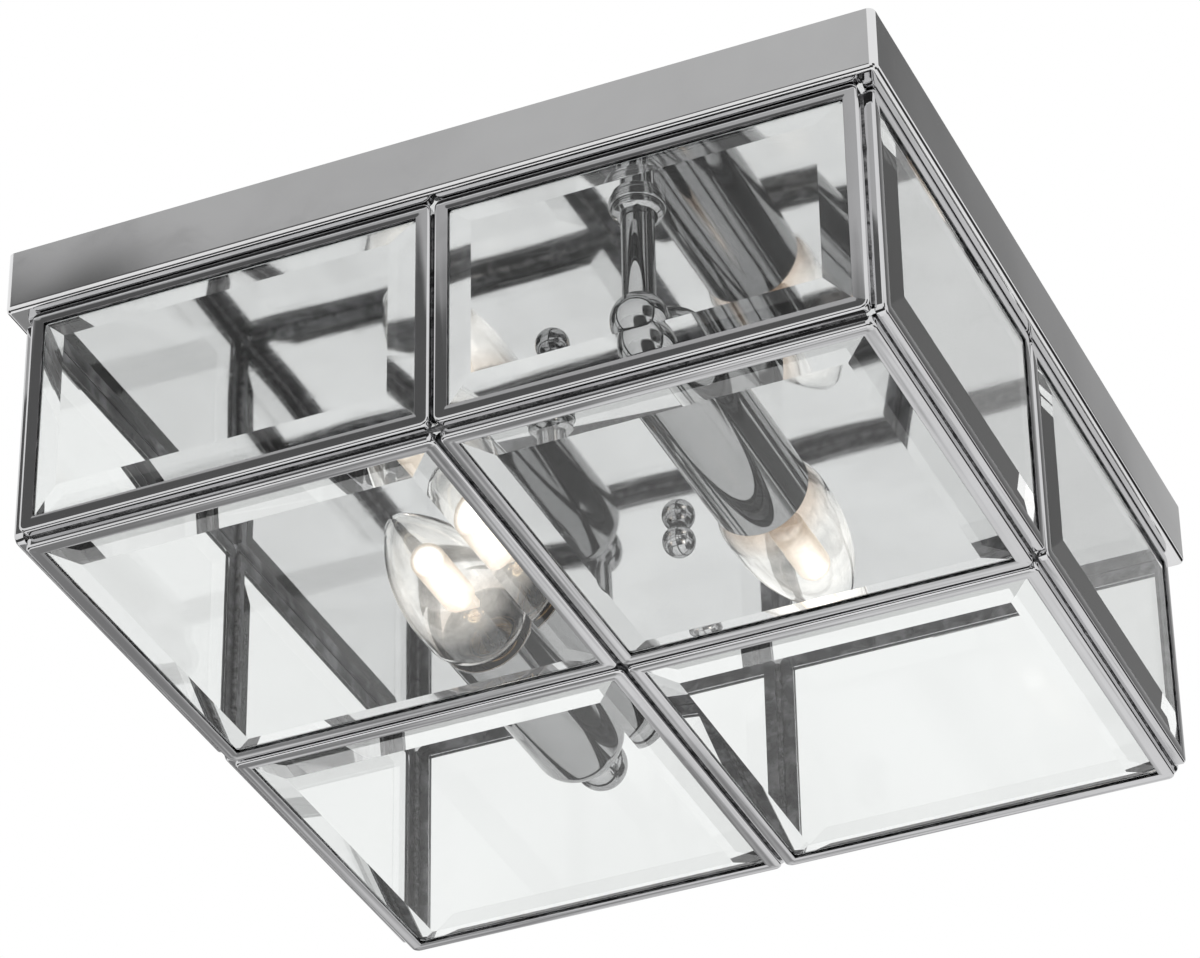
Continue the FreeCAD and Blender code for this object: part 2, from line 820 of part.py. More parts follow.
def channel_frame(label, width, height):
    """U-section channel bent round a pane, open towards it."""
    body = new_body(label)
    outline = new_sketch(body, "Outline", "XY_Plane")
    rectangle(outline, width, height)
    pad(body, outline, "channel_depth")
    rounded(body, "channel_corner_radius", is_upright)
    rounded(body, "channel_edge_radius", lies_at_height("channel_depth"))
    opening = new_sketch(body, "Opening", "XY_Plane")
    rectangle(opening, f"({width} - 2 * channel_face)", f"({height} - 2 * channel_face)")
    pocket(body, opening)
    channel = new_sketch(body, "Channel", "XY_Plane", "channel_wall")
    rectangle(channel, f"({width} - 2 * channel_wall)", f"({height} - 2 * channel_wall)")
    pocket(body, channel, "channel_depth - 2 * channel_wall")
    return body


def glass_pane(label, width, height):
    """Pane with a ground bevel round its outer face."""
    body = new_body(label)
    pane_width = f"({width} - 2 * channel_wall - 2 * glass_play)"
    pane_height = f"({height} - 2 * channel_wall - 2 * glass_play)"
    edge = new_sketch(body, "Edge", "XY_Plane", "channel_wall")
    rectangle(edge, pane_width, pane_height)
    pad(body, edge, "glass_edge")
    foot = new_sketch(body, "BevelFoot", "XY_Plane", "channel_wall + glass_edge")
    rectangle(foot, pane_width, pane_height)
    top = new_sketch(body, "BevelTop", "XY_Plane", "channel_wall + glass_thickness")
    rectangle(top, f"({pane_width} - 2 * bevel_width)", f"({pane_height} - 2 * bevel_width)")
    bevel = body.newObject("PartDesign::AdditiveLoft", "Bevel")
    bevel.Profile = foot
    bevel.Sections = [top]
    bevel.Ruled = True
    doc.recompute()
    return body


def on_wall(item, quarter, across, rise):
    """Set a piece on a side wall, across along the wall and rise up it."""
    cos, sin = QUARTER_COS[quarter], QUARTER_SIN[quarter]
    facing = turn((0, 0, 1), quarter * QUARTER).multiply(turn((1, 0, 0), QUARTER))
    place(
        item,
        f"{cos} * {across} + {sin} * {INNER_FACE}",
        f"{sin} * {across} - {cos} * {INNER_FACE}",
        rise,
        rotation=facing,
    )


def glass_box():
    middle = f"({BOX_TOP} - {FRAME_HEIGHT} / 2)"
    for quarter, (wall, halves) in enumerate(WALLS):
        for half, side in zip(halves, reversed(SIDES)):
            across = f"({side} * {FRAME_STEP})"
            name = f"{wall}_{half}"
            frame = channel_frame(f"frame_{name}", FRAME_WIDTH, FRAME_HEIGHT)
            on_wall(frame, quarter, across, middle)
            pane = glass_pane(f"pane_{name}", FRAME_WIDTH, FRAME_HEIGHT)
            on_wall(pane, quarter, across, middle)
    inner_bottom = f"({BOX_TOP} - box_height + channel_depth)"
    downwards = turn((1, 0, 0), 2 * QUARTER)
    for row_name, row_side in zip(("front", "back"), reversed(SIDES)):
        for half, side in zip(("left", "right"), reversed(SIDES)):
            name = f"bottom_{row_name}_{half}"
            spot = (f"{side} * {FRAME_STEP}", f"{row_side} * {FRAME_STEP}", inner_bottom)
            frame = channel_frame(f"frame_{name}", FRAME_WIDTH, FRAME_WIDTH)
            place(frame, *spot, rotation=downwards)
            pane = glass_pane(f"pane_{name}", FRAME_WIDTH, FRAME_WIDTH)
            place(pane, *spot, rotation=downwards)


def prism(name, role, spots, length, lift):
    """Straight bar with a section drawn on an origin plane, for the solder."""
    body = doc.addObject("PartDesign::Body", name)
    sketch = new_sketch(body, "Section", role, lift)
    polygon(sketch, spots)
    pad(body, sketch, length)
    return body


def solder_seams():
    """Solder on the inner side of the joints of the frames."""
    edge = f"({WALL_SPAN} / 2)"
    face = INNER_FACE
    height = f"({FRAME_HEIGHT} - 2 * channel_corner_radius)"
    side_low = f"({BOX_TOP} - {FRAME_HEIGHT})"
    low = f"({side_low} + channel_corner_radius)"
    inner_bottom = f"({side_low} - seam_gap)"
    run = f"({WALL_SPAN} - 2 * channel_corner_radius)"
    seams = []
    for quarter in range(4):
        corner = prism("CornerSeam", "XY_Plane", (
            (f"{edge} - solder_leg", face),
            (edge, face),
            (face, edge),
            (face, f"{edge} - solder_leg"),
        ), height, low)
        wall = prism("WallSeam", "XY_Plane", (
            ("-frame_gap / 2", f"-{face} - solder_depth"),
            ("frame_gap / 2", f"-{face} - solder_depth"),
            ("frame_gap / 2", f"-{face}"),
            ("-frame_gap / 2", f"-{face}"),
        ), height, low)
        foot = prism("FootSeam", "YZ_Plane", (
            (f"-{face}", f"{side_low} + solder_leg"),
            (f"-{face}", side_low),
            (f"-{edge}", inner_bottom),
            (f"solder_leg - {edge}", inner_bottom),
        ), run, f"-{run} / 2")
        for bar in (corner, wall, foot):
            bar.Placement = FreeCAD.Placement(
                FreeCAD.Vector(), turn((0, 0, 1), quarter * QUARTER))
            seams.append(bar)
    cross = [
        block("CrossSeam", size, (f"-{size[0]} / 2", f"-{size[1]} / 2",
                                  f"{inner_bottom} - solder_depth"))
        for size in ((run, "frame_gap", "solder_depth"), ("frame_gap", run, "solder_depth"))
    ]
    seams.append(joined("BottomCross", cross))
    group("solder_seams", seams)


# Hinges at the back, catch tab and thumb screw on the left

def hinges():
    fixed = []
    moving = []
    pins = []
    x_start = "-hinge_length / 2"
    bore_radius = "hinge_pin_radius + running_play"
    bore_length = "hinge_length + 2 * overrun"
    bore_start = ("-hinge_length / 2 - overrun", "0", "0")
    for side in SIDES:
        x = f"{side} * {FRAME_STEP}"
        rise = "(hinge_leaf_height + hinge_drop + hinge_radius)"
        leaf = block("FixedLeaf", ("hinge_length", "hinge_leaf", rise),
                     (x_start, "hinge_radius - hinge_leaf", "0"))
        knuckles = [
            rod("FixedKnuckle", "hinge_radius", KNUCKLE_LENGTH, (start, "0", "0"), ALONG_X)
            for start in (x_start, f"hinge_length / 2 - {KNUCKLE_LENGTH}")
        ]
        notch = block(
            "LeafNotch",
            (f"{KNUCKLE_LENGTH} + 2 * hinge_play", "2 * hinge_radius + overrun",
             "2 * hinge_radius + hinge_play"),
            (f"-{KNUCKLE_LENGTH} / 2 - hinge_play", "-hinge_radius", "-hinge_radius"))
        bore = rod("PinBore", bore_radius, bore_length, bore_start, ALONG_X)
        item = cut("HingeFixed", joined("HingeFixedBlank", [leaf] + knuckles), [notch, bore])
        fixed.append(place(item, x, PIVOT_Y, PIVOT_Z))

        knuckle_bar = rod("MovingKnuckle", "hinge_radius", KNUCKLE_LENGTH,
                          (f"-{KNUCKLE_LENGTH} / 2", "0", "0"), ALONG_X)
        reach = f"({PIVOT_Y} - {BOX_SIDE} / 2)"
        bridge = block("LeafBridge", (KNUCKLE_LENGTH, reach, "hinge_leaf"),
                       (f"-{KNUCKLE_LENGTH} / 2", f"-{reach}", "-hinge_leaf / 2"))
        plate_low = f"({TAB_FOOT} - {PIVOT_Z})"
        plate = block("MovingPlate",
                      ("hinge_length", "hinge_leaf", "channel_face - channel_edge_radius"),
                      (x_start, f"-{reach}", plate_low))
        moving_bore = rod("MovingBore", bore_radius, bore_length, bore_start, ALONG_X)
        swung = cut("HingeMoving", joined("HingeMovingBlank", [knuckle_bar, bridge, plate]),
                    [moving_bore])
        moving.append(place(swung, x, PIVOT_Y, PIVOT_Z))

        pins.append(rod("HingePin", "hinge_pin_radius", "hinge_length + 2 * hinge_pin_head",
                        (f"{x} - hinge_length / 2 - hinge_pin_head", PIVOT_Y, PIVOT_Z),
                        ALONG_X))
    group("hinge_leaves_fixed", fixed)
    group("hinge_leaves_moving", moving)
    group("hinge_pins", pins)


def catch():
    tab = block("CatchTab", ("tab_thickness", "tab_width", "tab_height"),
                (f"-{BOX_SIDE} / 2 - tab_thickness", f"{TAB_Y} - tab_width / 2", TAB_FOOT))
    keep(tab, "catch_tab")
    z = "-thumb_below_ceiling"
    boss_face = "(-pan_side / 2 - boss_length)"
    boss = rod("Boss", "boss_radius", "boss_length", (boss_face, TAB_Y, z), ALONG_X)
    boss_bore = rod("BossBore", "thumb_shank_radius + running_play",
                    "boss_length + 2 * overrun", (f"{boss_face} - overrun", TAB_Y, z), ALONG_X)
    keep(cut("BossCut", boss, [boss_bore]), "thumb_boss")
    head_face = f"({boss_face} - thumb_gap)"
    head = rod("ThumbHead", "thumb_radius", "thumb_length",
               (f"{head_face} - thumb_length", TAB_Y, z), ALONG_X)
    tip = f"(-{BOX_SIDE} / 2 - tab_thickness - thumb_gap)"
    shank = rod("ThumbShank", "thumb_shank_radius", f"{tip} - {head_face} + thumb_length / 2",
                (f"{head_face} - thumb_length / 2", TAB_Y, z), ALONG_X)
    keep(joined("ThumbScrew", [head, shank]), "thumb_screw")


# Wiring in the pan

def terminal_block():
    low = PAN_FLOOR
    base = block("Block", ("block_width", "block_length", "block_height"),
                 ("block_x - block_width / 2", "block_y - block_length / 2", low))
    tools = []
    screws = []
    head_low = f"({low} + block_height - screw_sink - screw_head)"
    for pole in (-1, 0, 1):
        y = f"block_y + {pole} * block_pitch"
        tools.append(rod("Entry", "block_entry_radius", "block_width + 2 * overrun",
                         ("block_x - block_width / 2 - overrun", y,
                          f"{low} + block_entry_height"), ALONG_X))
        for side in SIDES:
            x = f"block_x + {side} * block_screw_offset"
            tools.append(rod("ScrewHole", "screw_head_radius + screw_play", "block_height",
                             (x, y, f"{head_low} - screw_shank")))
            head = rod("ScrewHead", "screw_head_radius", "screw_head", (x, y, head_low))
            shank = rod("ScrewShank", "screw_shank_radius", "screw_shank",
                        (x, y, f"{head_low} - screw_shank"))
            screws.append(joined("Screw", [head, shank]))
    keep(cut("BlockCut", base, tools), "terminal_block")
    earth_low = "-bracket_thickness - screw_head"
    head = rod("EarthHead", "screw_head_radius", "screw_head", ("0", "earth_y", earth_low))
    shank = rod("EarthShank", "screw_shank_radius", "screw_shank",
                ("0", "earth_y", "-bracket_thickness"))
    screws.append(joined("EarthScrew", [head, shank]))
    group("terminal_screws", screws)


def lead_shape(points, radius, bend):
    """Round lead along straight runs that are joined by tangent arcs."""
    edges = []
    start = points[0]
    for before, corner, after in zip(points, points[1:], points[2:]):
        arriving = (corner - before).normalize()
        leaving = (after - corner).normalize()
        half_turn = arriving.getAngle(leaving) / 2
        reach = bend * math.tan(half_turn)
        first = corner - arriving * reach
        last = corner + leaving * reach
        inward = (leaving - arriving).normalize()
        centre = corner + inward * (bend / math.cos(half_turn))
        middle = centre - inward * bend
        edges.append(Part.LineSegment(start, first).toShape())
        edges.append(Part.Arc(first, middle, last).toShape())
        start = last
    edges.append(Part.LineSegment(start, points[-1]).toShape())
    path = Part.Wire(edges)
    direction = (points[1] - points[0]).normalize()
    section = Part.Wire([Part.Circle(points[0], direction, radius).toShape()])
    return path.makePipeShell([section], True, False)


def lamp_leads():
    """Two leads from each stem along the pan to the block, nested where they turn in."""
    stem_top = number(f"{PAN_FLOOR} + stem_above")
    run_height = stem_top + number("lead_rise")
    entry_height = number(f"{PAN_FLOOR} + block_entry_height")
    half_block = number("block_width / 2")
    leads = []
    for _, side in LAMPS:
        for wire in (0, 1):
            offset = number("lead_spacing / 2") * (2 * wire - 1)
            x = side * number("lamp_x") + offset
            y = -side * number(LAMP_Y)
            pole = number(f"block_y + {wire - 1} * block_pitch")
            stagger = (1 - wire) * number("lead_stagger") * (1 - side) / 2
            straight = number("block_x") + side * (half_block + number("lead_straight"))
            turning = straight + side * (number("lead_slope") + stagger)
            inside = number("block_x") + side * (half_block - number("lead_in_block"))
            points = [
                FreeCAD.Vector(x, y, stem_top - number("lead_in_stem")),
                FreeCAD.Vector(x, y, run_height),
                FreeCAD.Vector(turning, pole, run_height),
                FreeCAD.Vector(straight, pole, entry_height),
                FreeCAD.Vector(inside, pole, entry_height),
            ]
            leads.append(lead_shape(points, number("lead_radius"), number("lead_bend")))
    item = doc.addObject("Part::Feature", "lamp_leads")
    item.Shape = Part.Compound(leads)
    keep(item, "lamp_leads")


def check_document():
    """Stop if any object of the document failed or any sub-part has no sound shape."""
    doc.recompute()
    for item in doc.Objects:
        if "Invalid" in item.State or "Error" in item.State:
            raise RuntimeError(f"{item.Label} ({item.Name}) failed: {item.State}")
    for item in subparts:
        if item.Shape.isNull() or not item.Shape.isValid() or not item.Shape.Solids:
            raise RuntimeError(f"{item.Label} has no valid solid")


def main():
    ceiling_pan()
    mounting_bracket()
    bracket_studs()
    ball_nuts()
    doc.recompute()
    envelope = envelope_shape()
    for name, side in LAMPS:
        stem(name, side)
        collar(name, side)
        knuckle(name, side)
        sleeve(name, side)
        lampholder(name, side)
        bulb_cap(name, side)
        bulb_glass(name, side, envelope)
        bulb_inside(name, side)
    nipples_and_nuts()
    glass_box()
    solder_seams()
    hinges()
    catch()
    terminal_block()
    lamp_leads()
    check_document()
    os.makedirs("parts", exist_ok=True)
    for item in subparts:
        item.Shape.exportStep(os.path.join("parts", f"{item.Label}.step"))
        print(f"{item.Label}: {len(item.Shape.Solids)} solids, "
              f"{item.Shape.Volume / 1000:.2f} cm3")


main()
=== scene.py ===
"""Square ceiling light with bevelled glass and chrome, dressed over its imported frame.

Lengths are metres in the frame's own axes: +Z up, the ceiling face at Z = 0, the front
wall towards -Y and the right wall towards +X.
"""

import json
import logging
import math
from dataclasses import dataclass
from enum import Enum
from typing import Callable, Iterable, Iterator, Optional, Sequence, Union

import bmesh
import bpy
from mathutils import Matrix, Vector

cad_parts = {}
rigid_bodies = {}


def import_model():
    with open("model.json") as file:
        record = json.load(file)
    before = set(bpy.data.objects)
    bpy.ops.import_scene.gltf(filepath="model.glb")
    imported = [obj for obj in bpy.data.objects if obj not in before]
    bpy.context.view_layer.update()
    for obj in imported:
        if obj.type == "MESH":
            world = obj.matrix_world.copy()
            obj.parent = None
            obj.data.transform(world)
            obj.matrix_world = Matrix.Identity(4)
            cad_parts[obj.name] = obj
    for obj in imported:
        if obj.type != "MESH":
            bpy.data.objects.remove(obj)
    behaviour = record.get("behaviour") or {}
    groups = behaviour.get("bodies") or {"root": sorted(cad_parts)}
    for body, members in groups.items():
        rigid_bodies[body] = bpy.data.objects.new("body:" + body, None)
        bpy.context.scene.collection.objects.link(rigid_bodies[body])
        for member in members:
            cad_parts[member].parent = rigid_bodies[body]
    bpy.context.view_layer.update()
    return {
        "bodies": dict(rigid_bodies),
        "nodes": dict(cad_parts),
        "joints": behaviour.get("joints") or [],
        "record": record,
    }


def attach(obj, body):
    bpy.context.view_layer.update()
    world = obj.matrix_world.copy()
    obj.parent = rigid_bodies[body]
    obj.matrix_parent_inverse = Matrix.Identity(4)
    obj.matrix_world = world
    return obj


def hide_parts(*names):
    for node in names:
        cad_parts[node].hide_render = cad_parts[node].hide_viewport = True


LOG = logging.getLogger("ceiling_light")
MM = 0.001
TINY = 1e-7
TURN = 2 * math.pi
IMAGE_WIDTH = 1200
IMAGE_HEIGHT = 958
MIDDLE = (0.0, 0.0, -0.06)
LUMP_BAND = (0.3, 0.7)
Outline = list[tuple[float, float]]
Point = tuple[float, float, float]
Colour = tuple[float, float, float]
Band = tuple[float, float]
Mesh = bmesh.types.BMesh


class Side(Enum):
    """Which of the two lamps, with the sign of its arm's place."""

    FRONT = 1
    BACK = -1

    @property
    def word(self) -> str:
        """Name that the lamp's nodes end in."""
        return self.name.lower()


class Wall(Enum):
    """Side walls of the glass box in quarter turns about Z, with their halves' names."""

    FRONT = (0, ("left", "right"))
    RIGHT = (1, ("front", "back"))
    BACK = (2, ("right", "left"))
    LEFT = (3, ("back", "front"))


# Node trees

class Wire:
    """A node's output that takes part in sums."""

    def __init__(self, tree: "Tree", socket: Optional[bpy.types.NodeSocket]) -> None:
        """Keep the socket and the tree that it belongs to."""
        self.tree = tree
        self.socket = socket

    def _math(self, operation: str, first: "Value", second: "Value") -> "Wire":
        """Result of one Math node on two values."""
        return self.tree.node("ShaderNodeMath", {"operation": operation}, {0: first, 1: second})

    def __add__(self, other: "Value") -> "Wire":
        """Sum."""
        return self._math("ADD", self, other)

    def __radd__(self, other: "Value") -> "Wire":
        """Sum with a number on the left."""
        return self._math("ADD", other, self)

    def __sub__(self, other: "Value") -> "Wire":
        """Difference."""
        return self._math("SUBTRACT", self, other)

    def __rsub__(self, other: "Value") -> "Wire":
        """Difference from a number on the left."""
        return self._math("SUBTRACT", other, self)

    def __mul__(self, other: "Value") -> "Wire":
        """Product."""
        return self._math("MULTIPLY", self, other)

    def __rmul__(self, other: "Value") -> "Wire":
        """Product with a number on the left."""
        return self._math("MULTIPLY", other, self)

    def __truediv__(self, other: "Value") -> "Wire":
        """Quotient."""
        return self._math("DIVIDE", self, other)

    def __pow__(self, other: "Value") -> "Wire":
        """Power."""
        return self._math("POWER", self, other)

    def at_most(self, other: "Value") -> "Wire":
        """The smaller of the two."""
        return self._math("MINIMUM", self, other)

    def at_least(self, other: "Value") -> "Wire":
        """The larger of the two."""
        return self._math("MAXIMUM", self, other)

    def between(self, low: float, high: float) -> "Wire":
        """Smooth step from 0 at the low value to 1 at the high one."""
        return self.tree.node("ShaderNodeMapRange", {"interpolation_type": "SMOOTHSTEP"},
                              {"Value": self, "From Min": low, "From Max": high})


Value = Union[float, Wire]


class Tree:
    """A node tree under construction."""

    def __init__(self, tree: bpy.types.NodeTree) -> None:
        """Keep the tree and empty it."""
        self.tree = tree
        self.tree.nodes.clear()

    def node(
        self,
        kind: str,
        settings: Optional[dict] = None,
        inputs: Optional[dict] = None,
        output: Union[int, str] = 0,
    ) -> Wire:
        """Add any node.

        Args:
            kind: The node's type.
            settings: Its properties, which are set first.
            inputs: Values or wires by the input's name or number.
            output: The output to return.

        Returns:
            That output as a wire.
        """
        made = self.tree.nodes.new(kind)
        for key, value in (settings or {}).items():
            setattr(made, key, value)
        for key, value in (inputs or {}).items():
            if isinstance(value, Wire):
                self.tree.links.new(value.socket, made.inputs[key])
            else:
                made.inputs[key].default_value = value
        return Wire(self, made.outputs[output] if made.outputs else None)


class Shader(Tree):
    """One material under construction."""

    def __init__(self, name: str) -> None:
        """Start an empty node material.

        Args:
            name: The material's name.
        """
        self.material = bpy.data.materials.new(name)
        self.material.use_nodes = True
        super().__init__(self.material.node_tree)

    def place(self, turn: Sequence[float] = (0, 0, 0), scale: Sequence[float] = (1, 1, 1)) -> Wire:
        """Object coordinates, turned about the three axes and stretched along them."""
        spot = self.node("ShaderNodeTexCoord", output="Object")
        return self.node("ShaderNodeMapping", None,
                         {"Vector": spot, "Rotation": turn, "Scale": scale})

    def noise(
        self, scale: float, detail: float = 3.0, at: Optional[Wire] = None, warp: float = 0.0
    ) -> Wire:
        """Noise from 0 to 1.

        Args:
            scale: Waves per metre.
            detail: Octaves.
            at: Where to read it, object coordinates if not given.
            warp: How far the pattern is pulled about.

        Returns:
            The noise value.
        """
        values = {"Vector": at or self.place(), "Scale": scale, "Detail": detail,
                  "Roughness": 0.55, "Distortion": warp}
        return self.node("ShaderNodeTexNoise", None, values)

    def along(self) -> Wire:
        """Share of the piece's length, from its own attribute."""
        return self.node("ShaderNodeAttribute", {"attribute_name": "along"}, output="Fac")

    def facing(self) -> Wire:
        """1 where the surface faces the eye, falling to 0 at its outline."""
        return 1.0 - self.node("ShaderNodeLayerWeight", None, {"Blend": 0.5}, output="Facing")

    def mix(self, share: Value, low: Union[Colour, Wire], high: Union[Colour, Wire]) -> Wire:
        """Blend of two colours.

        Args:
            share: 0 for the first colour, 1 for the second.
            low: First colour.
            high: Second colour.

        Returns:
            The blended colour.
        """
        low = low if isinstance(low, Wire) else (*low, 1.0)
        high = high if isinstance(high, Wire) else (*high, 1.0)
        return self.node("ShaderNodeMix", {"data_type": "RGBA"}, {0: share, 6: low, 7: high},
                         output=2)

    def bump(self, height: Wire, depth: float) -> Wire:
        """Normal bent by a height from 0 to 1, where 1 stands for a depth in metres."""
        values = {"Height": height, "Distance": depth, "Strength": 1.0}
        return self.node("ShaderNodeBump", None, values, output="Normal")

    def principled(self, **inputs: Union[float, Colour, Wire]) -> Wire:
        """Principled surface.

        Args:
            inputs: Its inputs, with an underscore for each space of their names.

        Returns:
            The surface's shader.
        """
        values = {}
        for key, value in inputs.items():
            if isinstance(value, tuple):
                value = (*value, 1.0)
            values[key.replace("_", " ")] = value
        return self.node("ShaderNodeBsdfPrincipled", None, values)

    def done(self, surface: Wire) -> bpy.types.Material:
        """Join the finished surface to the output and hand over the material."""
        self.node("ShaderNodeOutputMaterial", None, {"Surface": surface})
        return self.material


# Finishes

@dataclass(frozen=True)
class Finish:
    """A finish of the light.

    Scales are waves per metre, depths are metres, and a band is the part of a pattern over which
    a mark comes in.
    """

    name: str

    def material(self) -> bpy.types.Material:
        """Build the finish."""
        shader = Shader(self.name)
        return shader.done(shader.principled(**self.looks(shader)))

    def looks(self, shader: Shader) -> dict:
        """Work out the surface.

        Args:
            shader: The material under construction.

        Returns:
            Inputs of its Principled surface.
        """
        raise NotImplementedError


@dataclass(frozen=True)
class Chrome(Finish):
    """Polished plating with faint wipe marks and the slight waves of its sheet.

    `edge` is how far it darkens towards the rims of a rounded form, which is painted shade.
    """

    tint: Colour = (0.78, 0.78, 0.785)
    roughness: float = 0.03
    smudge: float = 0.05
    waves: float = 0.00004
    wave_scale: float = 14.0
    wipe_scale: float = 60.0
    wipe_band: Band = (0.45, 0.8)
    speck_scale: float = 900.0
    speck: float = 0.02
    cloud_scale: float = 24.0
    cloud_band: Band = (0.3, 0.75)
    cloud: float = 0.08
    # Share of the tint left at the outline: the depth of the painted shade that `edge` sets.
    rim: float = 0.1
    edge: float = 0.0

    def looks(self, shader: Shader) -> dict:
        """Work out the plating.

        Args:
            shader: The material under construction.

        Returns:
            Inputs of its Principled surface.
        """
        wiped = shader.place((0, 0, 0.5), (1.0, 6.0, 1.0))
        wipe = shader.noise(self.wipe_scale, 4.0, wiped, 0.6).between(*self.wipe_band)
        speck = shader.noise(self.speck_scale, 2.0)
        cloud = shader.noise(self.cloud_scale, warp=0.4).between(*self.cloud_band)
        dark, rim = (tuple(c * share for c in self.tint) for share in (1.0 - self.cloud, self.rim))
        plating = shader.mix(cloud, self.tint, dark)
        # Painted shade: the plating darkens from where it faces the eye towards the outline of a
        # rounded form.
        if self.edge:
            plating = shader.mix(shader.facing() ** self.edge, rim, plating)
        return {
            "Base_Color": plating,
            "Metallic": 1.0,
            "Roughness": wipe * self.smudge + speck * self.speck + self.roughness,
            "Normal": shader.bump(shader.noise(self.wave_scale, 1.0), self.waves),
        }


@dataclass(frozen=True)
class DarkenedChrome(Finish):
    """Inner side of the channels: plating darkened by flux, with streaks of tin, its dark colour also
    standing for painted shade in the channels' recess.
    """

    # Dark colour: flux marks together with painted shade.
    stain: Colour = (0.045, 0.045, 0.047)
    bare: Colour = (0.25, 0.25, 0.26)
    roughness: float = 0.22
    streak_scale: float = 70.0
    blot_scale: float = 260.0
    worn_band: Band = (0.42, 0.66)
    depth: float = 0.00025

    def looks(self, shader: Shader) -> dict:
        """Work out the stain.

        Args:
            shader: The material under construction.

        Returns:
            Inputs of its Principled surface.
        """
        streak = shader.noise(self.streak_scale, 5.0, warp=1.2)
        blot = shader.noise(self.blot_scale, warp=0.5)
        worn = (streak * 0.7 + blot * 0.3).between(*self.worn_band)
        return {
            "Base_Color": shader.mix(worn, self.stain, self.bare),
            "Metallic": 1.0,
            "Roughness": self.roughness + blot * 0.2,
            "Normal": shader.bump(streak + blot * 0.4, self.depth),
        }


@dataclass(frozen=True)
class Solder(Finish):
    """Tin run into the joints: silver grey, lumpy and dull in the hollows."""

    bright: Colour = (0.24, 0.24, 0.245)
    dull: Colour = (0.05, 0.05, 0.052)
    lump_scale: float = 320.0
    crust_scale: float = 1500.0
    bright_band: Band = (0.36, 0.62)
    depth: float = 0.0004

    def looks(self, shader: Shader) -> dict:
        """Work out the lumps and the crust.

        Args:
            shader: The material under construction.

        Returns:
            Inputs of its Principled surface.
        """
        lumps = shader.noise(self.lump_scale, 4.0, warp=0.8)
        crust = shader.noise(self.crust_scale)
        share = (lumps * 0.75 + crust * 0.25).between(*self.bright_band)
        return {
            "Base_Color": shader.mix(share, self.dull, self.bright),
            "Metallic": 1.0,
            "Roughness": 0.5 - share * 0.22,
            "Normal": shader.bump(lumps + crust * 0.3, self.depth),
        }


@dataclass(frozen=True)
class PaneGlass(Finish):
    """Clear bevelled glass, a little green, with faint streaks of its drawing."""

    tint: Colour = (0.945, 0.957, 0.951)
    cleaner: Colour = (0.957, 0.965, 0.961)
    gloss: Colour = (0.45, 0.45, 0.45)
    drawn_scale: float = 9.0
    dust_scale: float = 1400.0
    dust_band: Band = (0.68, 0.8)
    dust: float = 0.05
    index: float = 1.5
    depth: float = 0.00003

    def looks(self, shader: Shader) -> dict:
        """Work out the glass.

        Args:
            shader: The material under construction.

        Returns:
            Inputs of its Principled surface.
        """
        drawn = shader.noise(self.drawn_scale, 2.0, warp=0.3)
        dust = shader.noise(self.dust_scale, 2.0)
        return {
            "Base_Color": shader.mix(drawn, self.tint, self.cleaner),
            "Roughness": dust.between(*self.dust_band) * self.dust,
            "IOR": self.index,
            "Specular_Tint": self.gloss,
            "Transmission_Weight": 1.0,
            "Normal": shader.bump(drawn, self.depth),
        }


@dataclass(frozen=True)
class BulbGlass(Finish):
    """Thin blown glass, tinted brown near its neck as a painted reflection of the cap, with a painted
    glow about its middle.
    """

    clear: Colour = (0.99, 0.988, 0.98)
    # Brown near the neck: painted reflection of the brass cap.
    smoked: Colour = (0.6, 0.5, 0.42)
    # Colour of the painted glow.
    glow: Colour = (1.0, 0.95, 0.88)
    glow_at: float = 0.58
    glow_strength: float = 0.42
    glow_fall: float = 20.0
    smoke_band: Band = (0.18, 0.38)
    index: float = 1.45
    blown_scale: float = 35.0
    cloud_scale: float = 170.0
    depth: float = 0.00012

    def looks(self, shader: Shader) -> dict:
        """Work out the smoke and the glow.

        Args:
            shader: The material under construction.

        Returns:
            Inputs of its Principled surface.
        """
        along = shader.along()
        blown = shader.noise(self.blown_scale, 2.0, warp=0.5)
        # Share of the painted reflection of the cap, strongest at the neck.
        cap_reflection_share = 1.0 - (along + blown * 0.12).between(*self.smoke_band)
        # Painted glow: brightest about the bulb's middle and where it faces the eye.
        middle = 1.0 - (along - self.glow_at) * (along - self.glow_at) * self.glow_fall
        cloud = shader.noise(self.cloud_scale, warp=0.9) * 1.1 + 0.4
        painted_glow = middle.at_least(0.0) * shader.facing() ** 2.0 * cloud
        return {
            "Base_Color": shader.mix(cap_reflection_share, self.clear, self.smoked),
            "Roughness": blown * 0.01,
            "IOR": self.index,
            "Transmission_Weight": 1.0,
            "Emission_Color": shader.mix(painted_glow, (0.0, 0.0, 0.0), self.glow),
            "Emission_Strength": self.glow_strength,
            "Normal": shader.bump(blown, self.depth),
        }


@dataclass(frozen=True)
class LitCapsule(Finish):
    """Sealed quartz capsule: white-hot towards its dome, amber glass at its foot."""

    hot: Colour = (1.0, 0.98, 0.94)
    foot: Colour = (0.07, 0.055, 0.04)
    amber: Colour = (0.42, 0.33, 0.25)
    pale: Colour = (0.7, 0.6, 0.5)
    strength: float = 3.6
    coil_scale: float = 420.0
    hot_band: Band = (0.08, 0.7)
    depth: float = 0.0002

    def looks(self, shader: Shader) -> dict:
        """Work out the heat.

        Args:
            shader: The material under construction.

        Returns:
            Inputs of its Principled surface.
        """
        coil = shader.noise(self.coil_scale, 2.0, warp=0.8)
        rise = (shader.along() + coil * 0.16).between(*self.hot_band)
        heat = rise * shader.facing() ** 3.0
        return {
            "Base_Color": shader.mix(coil, self.amber, self.pale),
            "Roughness": 0.1 + coil * 0.1,
            "Emission_Color": shader.mix(heat, self.foot, self.hot),
            "Emission_Strength": self.strength,
            "Normal": shader.bump(coil, self.depth),
        }


